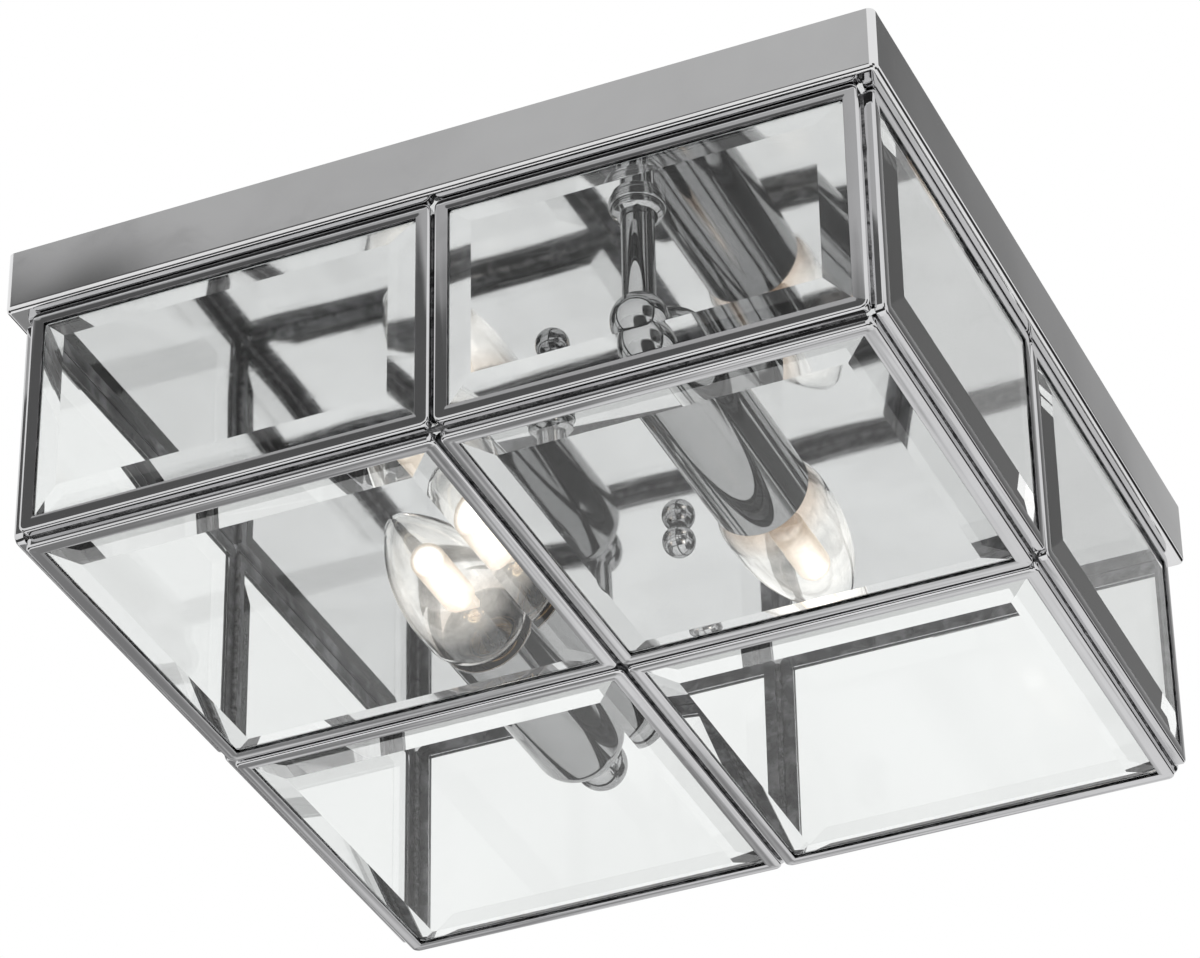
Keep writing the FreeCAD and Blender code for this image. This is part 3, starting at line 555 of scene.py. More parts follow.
@dataclass(frozen=True)
class BrownMetal(Finish):
    """Heat-tinted metal of the caps and the support wires."""

    light: Colour = (0.72, 0.58, 0.38)
    dark: Colour = (0.34, 0.22, 0.12)
    roughness: float = 0.18
    heat_scale: float = 130.0
    heat_band: Band = (0.35, 0.7)
    scratch_scale: float = 700.0
    depth: float = 0.00004

    def looks(self, shader: Shader) -> dict:
        """Work out the heat tint and the scratches.

        Args:
            shader: The material under construction.

        Returns:
            Inputs of its Principled surface.
        """
        heat = shader.noise(self.heat_scale, warp=0.6).between(*self.heat_band)
        scratch = shader.noise(self.scratch_scale, at=shader.place(scale=(1, 0.1, 1)))
        return {
            "Base_Color": shader.mix(heat, self.light, self.dark),
            "Metallic": 1.0,
            "Roughness": self.roughness + scratch * 0.15,
            "Normal": shader.bump(scratch, self.depth),
        }


@dataclass(frozen=True)
class Matt(Finish):
    """Moulded or fired surface with grain and faint mottling."""

    base: Colour
    shade: Colour
    roughness: float = 0.45
    grain_scale: float = 1200.0
    mottle_scale: float = 90.0
    mottle_band: Band = (0.3, 0.75)
    grain: float = 0.00006
    coat: float = 0.0

    def looks(self, shader: Shader) -> dict:
        """Work out the grain and the mottling.

        Args:
            shader: The material under construction.

        Returns:
            Inputs of its Principled surface.
        """
        mottle = shader.noise(self.mottle_scale, 4.0).between(*self.mottle_band)
        grain = shader.noise(self.grain_scale)
        return {
            "Base_Color": shader.mix(mottle, self.base, self.shade),
            "Roughness": self.roughness + grain * 0.15,
            "Coat_Weight": self.coat,
            "Normal": shader.bump(grain, self.grain),
        }


@dataclass(frozen=True)
class ZincPlate(Finish):
    """Zinc-plated steel with its cloudy spangle and rubbed spots."""

    light: Colour = (0.62, 0.63, 0.62)
    dark: Colour = (0.38, 0.39, 0.40)
    roughness: float = 0.32
    spangle_scale: float = 170.0
    rub_scale: float = 600.0
    depth: float = 0.00005

    def looks(self, shader: Shader) -> dict:
        """Work out the spangle.

        Args:
            shader: The material under construction.

        Returns:
            Inputs of its Principled surface.
        """
        spangle = shader.node("ShaderNodeTexVoronoi", {"feature": "F1"},
                              {"Vector": shader.place(), "Scale": self.spangle_scale},
                              output="Color")
        grey = shader.node("ShaderNodeRGBToBW", None, {"Color": spangle})
        rub = shader.noise(self.rub_scale)
        return {
            "Base_Color": shader.mix(grey * 0.6 + rub * 0.4, self.dark, self.light),
            "Metallic": 1.0,
            "Roughness": self.roughness + rub * 0.2 - grey * 0.08,
            "Normal": shader.bump(rub, self.depth),
        }


class Paints:
    """The finishes by the slot that they belong to, each built once."""

    CATALOGUE = {
        "pan_chrome": Chrome("pan_chrome_polish", waves=0.0007, wave_scale=11.0),
        # Frame chrome: slight painted shade towards the outline of its rounded edges.
        "frame_chrome": Chrome(
            "frame_chrome_polish", tint=(0.68, 0.68, 0.69), waves=0.00006, wave_scale=30.0,
            edge=0.15,
        ),
        # Arm chrome: a darker copy of the pan's chrome, strongly darkened towards the outline, as
        # painted shade. The ball nuts wear it too.
        "arm_chrome": Chrome(
            "arm_chrome_polish", tint=(0.56, 0.56, 0.565), roughness=0.015, smudge=0.02,
            waves=0.00001, edge=0.7,
        ),
        "hinge_chrome": Chrome(
            "hinge_chrome_polish", tint=(0.7, 0.7, 0.71), roughness=0.09, smudge=0.1
        ),
        # Inner channel: dark flux marks with painted shade in the recess at the glass and on the
        # back.
        "inner_channel": DarkenedChrome("inner_channel_stain"),
        "bevelled_glass": PaneGlass("bevelled_pane_glass"),
        "solder": Solder("tin_solder"),
        "bulb_glass": BulbGlass("blown_bulb_glass"),
        "bulb_capsule_glass": LitCapsule("lit_capsule"),
        "bulb_mount_wire": BrownMetal("heated_mount"),
        "bulb_cap_metal": BrownMetal(
            "cap_brass", light=(0.80, 0.66, 0.40), dark=(0.55, 0.40, 0.20), roughness=0.22
        ),
        "holder_ceramic": Matt(
            "fired_ceramic", base=(0.11, 0.08, 0.06), shade=(0.05, 0.038, 0.03), roughness=0.35,
            grain_scale=900.0, coat=0.3,
        ),
        "zinc_steel": ZincPlate("zinc_plated_steel"),
        "terminal_plastic": Matt(
            "moulded_block", base=(0.83, 0.82, 0.78), shade=(0.74, 0.73, 0.69), roughness=0.5
        ),
        "screw_brass": BrownMetal(
            "screw_brass", light=(0.78, 0.62, 0.34), dark=(0.56, 0.42, 0.20), roughness=0.3
        ),
        "lead_insulation": Matt(
            "lead_sleeving", base=(0.055, 0.055, 0.06), shade=(0.03, 0.03, 0.032), roughness=0.42,
            grain_scale=1500.0,
        ),
    }

    def __init__(self) -> None:
        """Start with nothing built."""
        self._made: dict[str, bpy.types.Material] = {}

    def of(self, slot: str) -> bpy.types.Material:
        """Material of a slot.

        Args:
            slot: The slot's name.

        Returns:
            The finish's material.
        """
        if slot not in self._made:
            self._made[slot] = self.CATALOGUE[slot].material()
        return self._made[slot]


# Places and objects

def shift(x: float, y: float, z: float) -> Matrix:
    """Place of something moved from the origin."""
    return Matrix.Translation((x, y, z))


def spin(quarters: float, axis: str) -> Matrix:
    """Place of something given quarter turns about an axis."""
    return Matrix.Rotation(quarters * math.pi / 2, 4, axis)


def mesh_of(name: str, made: Mesh) -> bpy.types.Mesh:
    """Plain mesh of a built one.

    Args:
        name: Its name.
        made: The built mesh, which is used up.

    Returns:
        The plain mesh.
    """
    mesh = bpy.data.meshes.new(name)
    made.to_mesh(mesh)
    made.free()
    return mesh


def placed(name: str, data: bpy.types.ID) -> bpy.types.Object:
    """Object in the scene.

    Args:
        name: Its name.
        data: Its mesh, light or camera.

    Returns:
        The object.
    """
    item = bpy.data.objects.new(name, data)
    bpy.context.scene.collection.objects.link(item)
    return item


def baked(item: bpy.types.Object) -> bpy.types.Object:
    """Apply an object's modifiers.

    Args:
        item: The object.

    Returns:
        The same object with its plain mesh.
    """
    bpy.context.view_layer.update()
    seen = item.evaluated_get(bpy.context.evaluated_depsgraph_get())
    mesh = bpy.data.meshes.new_from_object(seen)
    item.modifiers.clear()
    item.data = mesh
    return item


def taken(item: bpy.types.Object) -> Mesh:
    """Mesh of an object that is used up.

    Args:
        item: The object.

    Returns:
        Its mesh, for more work.
    """
    made = bmesh.new()
    made.from_mesh(item.data)
    bpy.data.objects.remove(item)
    return made


def moved(made: Mesh, place: Matrix) -> Mesh:
    """The same mesh at another place."""
    bmesh.ops.transform(made, matrix=place, verts=made.verts)
    return made


def joined(parts: Iterable[Mesh]) -> Mesh:
    """Several meshes in one.

    Args:
        parts: The meshes, which are used up.

    Returns:
        The joined mesh.
    """
    whole = bmesh.new()
    for part in parts:
        mesh = mesh_of("part", part)
        whole.from_mesh(mesh)
        bpy.data.meshes.remove(mesh)
    return whole


# Outlines and meshes

def filleted(corners: Sequence[Sequence[float]], steps: int = 6) -> Outline:
    """Outline with rounded corners.

    Args:
        corners: Points of a closed outline, each with a radius as its third number if round.
        steps: Parts of each rounding.

    Returns:
        The outline's points.
    """
    points: Outline = []
    for k, corner in enumerate(corners):
        spot = Vector(corner[:2])
        radius = corner[2] if len(corner) > 2 else 0.0
        to_before = (Vector(corners[k - 1][:2]) - spot).normalized()
        to_after = (Vector(corners[(k + 1) % len(corners)][:2]) - spot).normalized()
        half = to_before.angle(to_after) / 2.0 if radius else 0.0
        if not radius or half > math.pi / 2 - 0.01:
            points.append((spot.x, spot.y))
            continue
        centre = spot + (to_before + to_after).normalized() * (radius / math.sin(half))
        start = spot + to_before * (radius / math.tan(half)) - centre
        end = spot + to_after * (radius / math.tan(half)) - centre
        sweep = start.angle_signed(end)
        for step in range(steps + 1):
            ray = start.copy()
            ray.rotate(Matrix.Rotation(-sweep * step / steps, 2))
            points.append((centre.x + ray.x, centre.y + ray.y))
    return points


def on_circle(radius: float, angle: float) -> tuple[float, float]:
    """Point of a circle about the origin."""
    return radius * math.cos(angle), radius * math.sin(angle)


def arc(centre: Sequence[float], radius: float, start: float, end: float, steps: int) -> Outline:
    """Points along an arc.

    Args:
        centre: Its centre.
        radius: Its radius.
        start: First angle from the radius axis.
        end: Last angle.
        steps: Parts between the two.

    Returns:
        The points, both ends among them.
    """
    points = []
    for step in range(steps + 1):
        x, y = on_circle(radius, start + (end - start) * step / steps)
        points.append((centre[0] + x, centre[1] + y))
    return points


def ball_outline(radius: float, end: float) -> Outline:
    """Outline of a ball from its lowest point up to an angle over its middle."""
    return [(0.0, -radius)] + arc((0.0, 0.0), radius, -math.pi / 2, end, 40)[1:]


def revolve(outline: Sequence[Sequence[float]], steps: int = 96) -> Mesh:
    """Closed solid of revolution about Z.

    Args:
        outline: Closed outline of radius and place along the axis.
        steps: Parts round the axis.

    Returns:
        The new mesh.
    """
    made = bmesh.new()
    rings = []
    for radius, along in outline:
        if radius < TINY:
            rings.append([made.verts.new((0.0, 0.0, along))])
        else:
            rings.append([made.verts.new((*on_circle(radius, TURN * k / steps), along))
                          for k in range(steps)])
    for lower, upper in zip(rings, rings[1:] + rings[:1]):
        if len(lower) == 1 and len(upper) == 1:
            continue
        for k in range(steps):
            following = (k + 1) % steps
            corners = [lower[k % len(lower)], lower[following % len(lower)],
                       upper[following % len(upper)], upper[k % len(upper)]]
            made.faces.new(list(dict.fromkeys(corners)))
    return made


def rounded_square(width: float, height: float, radius: float, steps: int) -> Outline:
    """Closed outline of a rectangle with round corners, always with the same point count.

    Args:
        width: Size along the first axis.
        height: Size along the second axis.
        radius: Corner radius.
        steps: Parts of each corner.

    Returns:
        The outline's points.
    """
    radius = max(radius, 0.01 * MM)
    points: Outline = []
    for k, (across, up) in enumerate(((1, 1), (-1, 1), (-1, -1), (1, -1))):
        centre = (across * (width / 2 - radius), up * (height / 2 - radius))
        start = k * math.pi / 2
        points += arc(centre, radius, start, start + math.pi / 2, steps)
    return points


def swept_square(
    width: float, height: float, radius: float, section: Outline, steps: int = 6
) -> Mesh:
    """Section carried round a rectangle with round corners.

    Args:
        width: Outer width.
        height: Outer height.
        radius: Outer corner radius.
        section: Closed section of the inset from the outside and the place along Z.
        steps: Parts of each corner.

    Returns:
        The new mesh.
    """
    made = bmesh.new()
    rings = []
    for inset, rise in section:
        outline = rounded_square(width - 2 * inset, height - 2 * inset, radius - inset, steps)
        rings.append([made.verts.new((x, y, rise)) for x, y in outline])
    for lower, upper in zip(rings, rings[1:] + rings[:1]):
        for k in range(len(lower)):
            following = (k + 1) % len(lower)
            made.faces.new((lower[k], lower[following], upper[following], upper[k]))
    return made


def box(size: Sequence[float], low: Sequence[float]) -> Mesh:
    """Box from its lowest corner.

    Args:
        size: Its three sizes.
        low: Its lowest corner.

    Returns:
        The new mesh.
    """
    made = bmesh.new()
    bmesh.ops.create_cube(made, size=1.0)
    middle = Vector(low) + Vector(size) / 2
    return moved(made, Matrix.Translation(middle) @ Matrix.Diagonal((*size, 1.0)))


# Finished pieces

class Workshop:
    """Dresses the pieces and reports each one."""

    def __init__(self, paints: Paints) -> None:
        """Keep the finishes by slot."""
        self.paints = paints
        self.count = 0

    def piece(
        self,
        name: str,
        made: Mesh,
        body: str,
        slot: str,
        node: str,
        place: Matrix = Matrix(),
        sharp: float = 32.0,
        second: Optional[tuple[str, Callable[[Vector, Vector], bool]]] = None,
        along: Optional[tuple[float, float]] = None,
    ) -> None:
        """Turn a mesh into a finished piece.

        Args:
            name: The piece's name.
            made: Its mesh, which is used up.
            body: The body that it rides on.
            slot: The slot of its finish.
            node: Node of the frame that it stands for.
            place: Where the mesh goes.
            sharp: Edges that turn by more degrees than this stay sharp.
            second: A second slot, and a test on a face's middle and normal that gives it
                to the face, both in the mesh's own axes.
            along: Start and end of its length in the mesh's own axes, for a finish that
                changes on the way.
        """
        bmesh.ops.remove_doubles(made, verts=made.verts, dist=TINY)
        bmesh.ops.recalc_face_normals(made, faces=made.faces)
        for face in made.faces:
            face.smooth = True
            if second and second[1](face.calc_center_median(), face.normal):
                face.material_index = 1
        if along:
            share = made.verts.layers.float.new("along")
            for vertex in made.verts:
                vertex[share] = (vertex.co.z - along[0]) / (along[1] - along[0])
        mesh = mesh_of(name, moved(made, place))
        for used in (slot, second[0]) if second else (slot,):
            mesh.materials.append(self.paints.of(used))
        mesh.set_sharp_from_angle(angle=math.radians(sharp))
        self.settle(placed(name, mesh), body, node)

    def settle(self, item: bpy.types.Object, body: str, node: str) -> None:
        """Tie an object to its body and node, and report it.

        Args:
            item: The object.
            body: The body that it rides on.
            node: Node of the frame that it stands for.
        """
        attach(item, body)
        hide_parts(node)
        self.count += 1
        LOG.info("%s on %s: %d faces", item.name, body, len(item.data.polygons))

    def dress(self, frame: dict, node: str, slot: str) -> None:
        """Give a node of the frame its finish.

        Args:
            frame: The loaded frame.
            node: The node's name.
            slot: The slot of its finish.
        """
        item = frame["nodes"][node]
        paint = self.paints.of(slot)
        if not item.material_slots:
            item.data.materials.append(paint)
        for holder in item.material_slots:
            holder.material = paint
        LOG.info("%s keeps its shape in %s", node, paint.name)


# Node trees for what repeats or follows a path

class Recipe(Tree):
    """A geometry node tree with named inputs, and its use on a mesh."""

    def __init__(self, name: str, **kinds: str) -> None:
        """Start the tree with its inputs.

        Args:
            name: The tree's name.
            kinds: Kind of each named input.
        """
        super().__init__(bpy.data.node_groups.new(name, "GeometryNodeTree"))
        sockets = self.tree.interface
        sockets.new_socket(name="Geometry", in_out="OUTPUT", socket_type="NodeSocketGeometry")
        self.identifiers: dict[str, str] = {}
        for key, kind in {"Geometry": "Geometry", **kinds, "Material": "Material"}.items():
            made = sockets.new_socket(name=key, in_out="INPUT", socket_type=f"NodeSocket{kind}")
            self.identifiers[key] = made.identifier
        self.source = self.tree.nodes.new("NodeGroupInput")

    def __getitem__(self, name: str) -> Wire:
        """Named input inside the tree."""
        return Wire(self, self.source.outputs[name])

    def tube(self, path: Wire, sides: int, radius: Wire, scale: Value = 1.0) -> Wire:
        """Closed tube along a path.

        Args:
            path: The path.
            sides: Sides of its section.
            radius: Its radius.
            scale: Factor of the radius on the way.

        Returns:
            Its geometry.
        """
        ring = self.node("GeometryNodeCurvePrimitiveCircle", None,
                         {"Resolution": sides, "Radius": radius})
        return self.node("GeometryNodeCurveToMesh", None,
                         {"Curve": path, "Profile Curve": ring, "Scale": scale, "Fill Caps": True})

    def finish(self, geometry: Wire) -> "Recipe":
        """End the tree with plain geometry in its material.

        Args:
            geometry: What the tree has made.

        Returns:
            The recipe itself.
        """
        real = self.node("GeometryNodeRealizeInstances", None, {"Geometry": geometry})
        painted = self.node("GeometryNodeSetMaterial", None,
                            {"Geometry": real, "Material": self["Material"]})
        self.node("NodeGroupOutput", None, {"Geometry": painted})
        return self

    def make(
        self, name: str, seed: Mesh, paint: bpy.types.Material, **values: float
    ) -> bpy.types.Object:
        """Run the tree on a mesh and bake the result.

        Args:
            name: The new object's name.
            seed: The mesh that goes in, which is used up.
            paint: The material.
            values: Values of the named inputs.

        Returns:
            The object with its plain mesh.
        """
        item = placed(name, mesh_of(name, seed))
        tool = item.modifiers.new(self.tree.name, "NODES")
        tool.node_group = self.tree
        for key, value in {**values, "Material": paint}.items():
            tool[self.identifiers[key]] = value
        return baked(item)


def bead_recipe() -> Recipe:
    """Tree that runs a lumpy bead along the edges of its mesh.

    Returns:
        The tree.
    """
    recipe = Recipe("SolderBead", Radius="Float", Spacing="Float", Lump="Float", Grain="Float",
                    Seed="Int")
    path = recipe.node("GeometryNodeMeshToCurve", None, {"Mesh": recipe["Geometry"]})
    fine = recipe.node("GeometryNodeResampleCurve", {"mode": "LENGTH"},
                       {"Curve": path, "Length": recipe["Spacing"]})
    spot = recipe.node("GeometryNodeInputPosition")
    noise = recipe.node("ShaderNodeTexNoise", {"noise_dimensions": "4D"},
                        {"Vector": spot, "Scale": recipe["Grain"], "W": recipe["Seed"]})
    swell = recipe.node("ShaderNodeMapRange", None,
                        {"Value": noise, "From Min": LUMP_BAND[0], "From Max": LUMP_BAND[1],
                         "To Min": 1.0 - recipe["Lump"]})
    tube = recipe.tube(fine, 10, recipe["Radius"], swell)
    return recipe.finish(recipe.node("GeometryNodeSetShadeSmooth", None, {"Geometry": tube}))


def ridge_recipe() -> Recipe:
    """Tree that sets a six-sided ridge along Z on each vertex of its mesh.

    Returns:
        The tree.
    """
    recipe = Recipe("GripRidges", Width="Float", Length="Float")
    bar = recipe.node("GeometryNodeMeshCylinder", None,
                      {"Vertices": 6, "Side Segments": 1, "Radius": recipe["Width"],
                       "Depth": recipe["Length"]})
    return recipe.finish(recipe.node("GeometryNodeInstanceOnPoints", None,
                                     {"Points": recipe["Geometry"], "Instance": bar}))


def thread_recipe() -> Recipe:
    """Tree that winds a thread's ridge about Z.

    Returns:
        The tree.
    """
    recipe = Recipe("ThreadRidge", Radius="Float", Pitch="Float", Length="Float", Ridge="Float")
    spiral = recipe.node("GeometryNodeCurveSpiral", None, {
        "Resolution": 24,
        "Rotations": recipe["Length"] / recipe["Pitch"],
        "Start Radius": recipe["Radius"],
        "End Radius": recipe["Radius"],
        "Height": recipe["Length"],
    })
    return recipe.finish(recipe.tube(spiral, 4, recipe["Ridge"]))


# Sub-assemblies

@dataclass
class CeilingPan:
    """Pressed square pan, open towards the ceiling, with the holes in its face."""

    side: float = 280.0 * MM
    depth: float = 21.6 * MM
    sheet: float = 1.0 * MM
    corner: float = 2.2 * MM
    edge: float = 1.6 * MM
    hub: float = 1.0 * MM
    stem_hole: float = 5.2 * MM
    stud_hole: float = 2.2 * MM
    support: float = 0.35 * MM
    tab_slot: tuple[float, float] = (2.2 * MM, 19.0 * MM)
    tab_spot: tuple[float, float] = (-136.9 * MM, -106.3 * MM)
    screw_height: float = -8.2 * MM
    screw_hole: float = 2.15 * MM
    overrun: float = 4.0 * MM

    def section(self) -> Outline:
        """Section of the wall, from the rim over the outside to the face and back inside.

        Returns:
            Insets from the outside and heights, with the innermost ones in the middle.
        """
        hub = self.side / 2 - self.hub
        low = -self.depth
        face = low + self.sheet
        bend = (self.edge, low + self.edge)
        flat = self.edge + self.support
        return [
            (0.0, 0.0), (0.0, -self.support), (0.0, low + flat),
            *arc(bend, self.edge, math.pi, 1.5 * math.pi, 8),
            (flat, low), (hub, low), (hub, face), (flat, face),
            *arc(bend, self.edge - self.sheet, 1.5 * math.pi, math.pi, 5),
            (self.sheet, -self.support), (self.sheet, 0.0),
        ]

    def hole(self, radius: float, place: Matrix, steps: int) -> Mesh:
        """Solid of a round hole.

        Args:
            radius: Its radius.
            place: Where its middle lies, with its axis along Z.
            steps: Parts round its axis.

        Returns:
            The mesh.
        """
        long = self.overrun
        outline = [(0.0, -long), (radius, -long), (radius, long), (0.0, long)]
        return moved(revolve(outline, steps), place)

    def cutters(self) -> list[Mesh]:
        """Solids of the holes.

        Returns:
            One mesh for each hole.
        """
        holes = []
        for side in Side:
            stem = shift(side.value * Lamp.x, -side.value * Lamp.y, -self.depth)
            stud = shift(0.0, side.value * StudPair.spacing / 2, -self.depth)
            holes += [self.hole(self.stem_hole, stem, 48), self.hole(self.stud_hole, stud, 48)]
        width, length = self.tab_slot
        x, y = self.tab_spot
        low = (x - width / 2, y - length / 2, -self.depth - self.overrun)
        holes.append(box((width, length, 2 * self.overrun), low))
        screw = shift(-self.side / 2, y, self.screw_height) @ spin(1, "Y")
        holes.append(self.hole(self.screw_hole, screw, 32))
        return holes

    def build(self, shop: Workshop) -> None:
        """Make the pan.

        Args:
            shop: The workshop.
        """
        shell = swept_square(self.side, self.side, self.corner, self.section(), 8)
        # The ring of faces that joins the two sheets in the middle gives way to two flats.
        middle = [face for face in shell.faces
                  if max(abs(along) for along in face.calc_center_median().xy) < 2 * self.hub]
        bmesh.ops.delete(shell, geom=middle, context="FACES")
        for height in (-self.depth, self.sheet - self.depth):
            rim = [edge for edge in shell.edges if edge.is_boundary and
                   all(abs(end.co.z - height) < TINY for end in edge.verts)]
            bmesh.ops.contextual_create(shell, geom=rim)
        bmesh.ops.remove_doubles(shell, verts=shell.verts, dist=TINY)
        holes = joined(self.cutters())
        for made in (shell, holes):
            bmesh.ops.recalc_face_normals(made, faces=made.faces)
        blank = placed("pan_blank", mesh_of("pan_blank", shell))
        tool = placed("pan_holes", mesh_of("pan_holes", holes))
        cut = blank.modifiers.new("Holes", "BOOLEAN")
        cut.operation = "DIFFERENCE"
        cut.solver = "EXACT"
        cut.object = tool
        pressed = taken(baked(blank))
        bpy.data.objects.remove(tool)
        shop.piece("pressed_pan", pressed, "fixture", "pan_chrome", "ceiling_pan", sharp=40.0)


@dataclass
class StudPair:
    """The two ball nuts that hold the pan on its studs."""

    spacing: float = 97.0 * MM
    ball: float = 5.4 * MM
    flat: float = 2.6 * MM
    gap: float = 0.2 * MM

    def build(self, shop: Workshop) -> None:
        """Make the ball nuts.

        Args:
            shop: The workshop.
        """
        rise = math.sqrt(self.ball**2 - self.flat**2)
        middle = -CeilingPan.depth - self.gap - rise
        outline = ball_outline(self.ball, math.asin(rise / self.ball)) + [(0.0, rise)]
        for side in Side:
            nut = f"ball_nut_{side.word}"
            place = shift(0.0, -side.value * self.spacing / 2, middle)
            shop.piece(f"turned_{nut}", revolve(outline), nut, "arm_chrome", nut, place)


@dataclass
class Lamp:
    """One arm with its sleeve, holder and bulb, in sizes from the middle of its ball."""

    side: Side = Side.FRONT
    x: float = 53.4 * MM
    y: float = 107.1 * MM
    drop: float = 41.9 * MM
    stem_radius: float = 5.0 * MM
    stem_bore: float = 3.8 * MM
    stem_foot: float = 5.2 * MM
    stem_above: float = 6.0 * MM
    collar_radius: float = 8.5 * MM
    collar_height: float = 4.4 * MM
    collar_play: float = 0.06 * MM
    collar_groove: float = 1.2 * MM
    collar_bead: float = 0.9 * MM
    collar_shares: tuple[float, float, float] = (0.36, 0.52, 0.8)
    ball: float = 8.8 * MM
    neck: float = 6.4 * MM
    sleeve_start: float = 9.6 * MM
    sleeve_mouth: float = 89.6 * MM
    sleeve_radius: float = 15.8 * MM
    sleeve_wall: float = 0.8 * MM
    sleeve_end: float = 9.5 * MM
    sleeve_roll: float = 0.35 * MM
    neck_chamfer: float = 0.3 * MM
    nipple: float = 4.96 * MM
    holder_foot: float = 6.2 * MM
    holder_neck: float = 9.0 * MM
    holder_radius: float = 12.4 * MM
    holder_lip: float = 2.0 * MM
    holder_mouth: float = 76.3 * MM
    holder_bore: float = 7.0 * MM
    holder_floor: float = 57.2 * MM
    nipple_end: float = 27.1 * MM

    def upright(self, above: float = 0.0) -> Matrix:
        """Place of what is turned about the stem, from the ball's middle or above it."""
        height = above - CeilingPan.depth - self.drop
        return shift(self.side.value * self.x, -self.side.value * self.y, height)

    def along(self) -> Matrix:
        """Place of what is turned about the lamp's own axis."""
        return self.upright() @ spin(0 if self.side is Side.FRONT else 2, "Z") @ spin(-1, "X")

    def build(self, shop: Workshop) -> None:
        """Make the arm, the holder and the bulb.

        Args:
            shop: The workshop.
        """
        word = self.side.word
        for name, node, outline, slot, place, steps in (
            ("turned_stem", "stem", self.stem(), "arm_chrome", self.upright(), 96),
            ("turned_collar", "collar", self.collar(), "arm_chrome", self.upright(self.drop), 96),
            ("turned_knuckle", "knuckle", self.knuckle(), "arm_chrome", self.along(), 96),
            ("spun_sleeve", "sleeve", self.sleeve(), "arm_chrome", self.along(), 160),
            ("fired_holder", "lampholder", self.holder(), "holder_ceramic", self.along(), 96),
        ):
            shop.piece(f"{name}_{word}", revolve(outline, steps), "fixture", slot,
                       f"{node}_{word}", place)
        Bulb(self.along(), word).build(shop)

    def stem(self) -> Outline:
        """Outline of the threaded tube that hangs from the pan.

        Returns:
            The outline.
        """
        end = self.drop + CeilingPan.sheet + self.stem_above
        return filleted([(self.stem_bore, self.stem_foot), (self.stem_radius, self.stem_foot),
                         (self.stem_radius, end, 0.3 * MM), (self.stem_bore, end)])

    def collar(self) -> Outline:
        """Outline of the collar round the stem, below the pan.

        Returns:
            The outline.
        """
        bore = self.stem_radius + self.collar_play
        radius = self.collar_radius
        waist = radius - self.collar_groove
        belly = radius - self.collar_bead
        flange, groove, bead = (-share * self.collar_height for share in self.collar_shares)
        return filleted([
            (bore, 0.0),
            (radius, 0.0, 0.15 * MM),
            (radius, flange, 0.6 * MM),
            (waist, flange, 0.1 * MM),
            (waist, groove, 0.1 * MM),
            (belly, groove, 0.2 * MM),
            (belly, bead, 0.5 * MM),
            (bore + self.collar_bead, -self.collar_height, 0.3 * MM),
            (bore, -self.collar_height),
        ])

    def knuckle(self) -> Outline:
        """Outline of the ball with its short neck, chamfered at its end.

        Returns:
            The outline.
        """
        meeting = math.asin(math.sqrt(self.ball**2 - self.neck**2) / self.ball)
        end = self.sleeve_start
        return ball_outline(self.ball, meeting) + [
            (self.neck, end - self.neck_chamfer), (self.neck - self.neck_chamfer, end), (0.0, end)]

    def sleeve(self) -> Outline:
        """Outline of the sleeve: a deep cup with a round closed end and a rolled mouth.

        Returns:
            The outline.
        """
        inside = self.sleeve_radius - self.sleeve_wall
        floor = self.sleeve_start + self.sleeve_wall
        return filleted([
            (self.nipple, self.sleeve_start),
            (self.sleeve_radius, self.sleeve_start, self.sleeve_end),
            (self.sleeve_radius, self.sleeve_mouth, self.sleeve_roll),
            (inside, self.sleeve_mouth, self.sleeve_roll),
            (inside, floor, self.sleeve_end - self.sleeve_wall),
            (self.nipple, floor),
        ], 16)

    def holder(self) -> Outline:
        """Outline of the ceramic holder with its bore for the cap.

        Returns:
            The outline.
        """
        foot = self.sleeve_start + self.sleeve_wall
        shoulder = foot + self.holder_neck
        mouth = self.holder_mouth
        return filleted([
            (self.nipple, foot),
            (self.holder_foot, foot, 0.4 * MM),
            (self.holder_foot, shoulder, 0.8 * MM),
            (self.holder_radius, shoulder, 1.5 * MM),
            (self.holder_radius, mouth - self.holder_lip, 0.8 * MM),
            (self.holder_radius - self.holder_lip, mouth, 0.6 * MM),
            (self.holder_bore, mouth, 0.4 * MM),
            (self.holder_bore, self.holder_floor),
            (0.0, self.holder_floor),
            (0.0, self.nipple_end),
            (self.nipple, self.nipple_end),
        ])


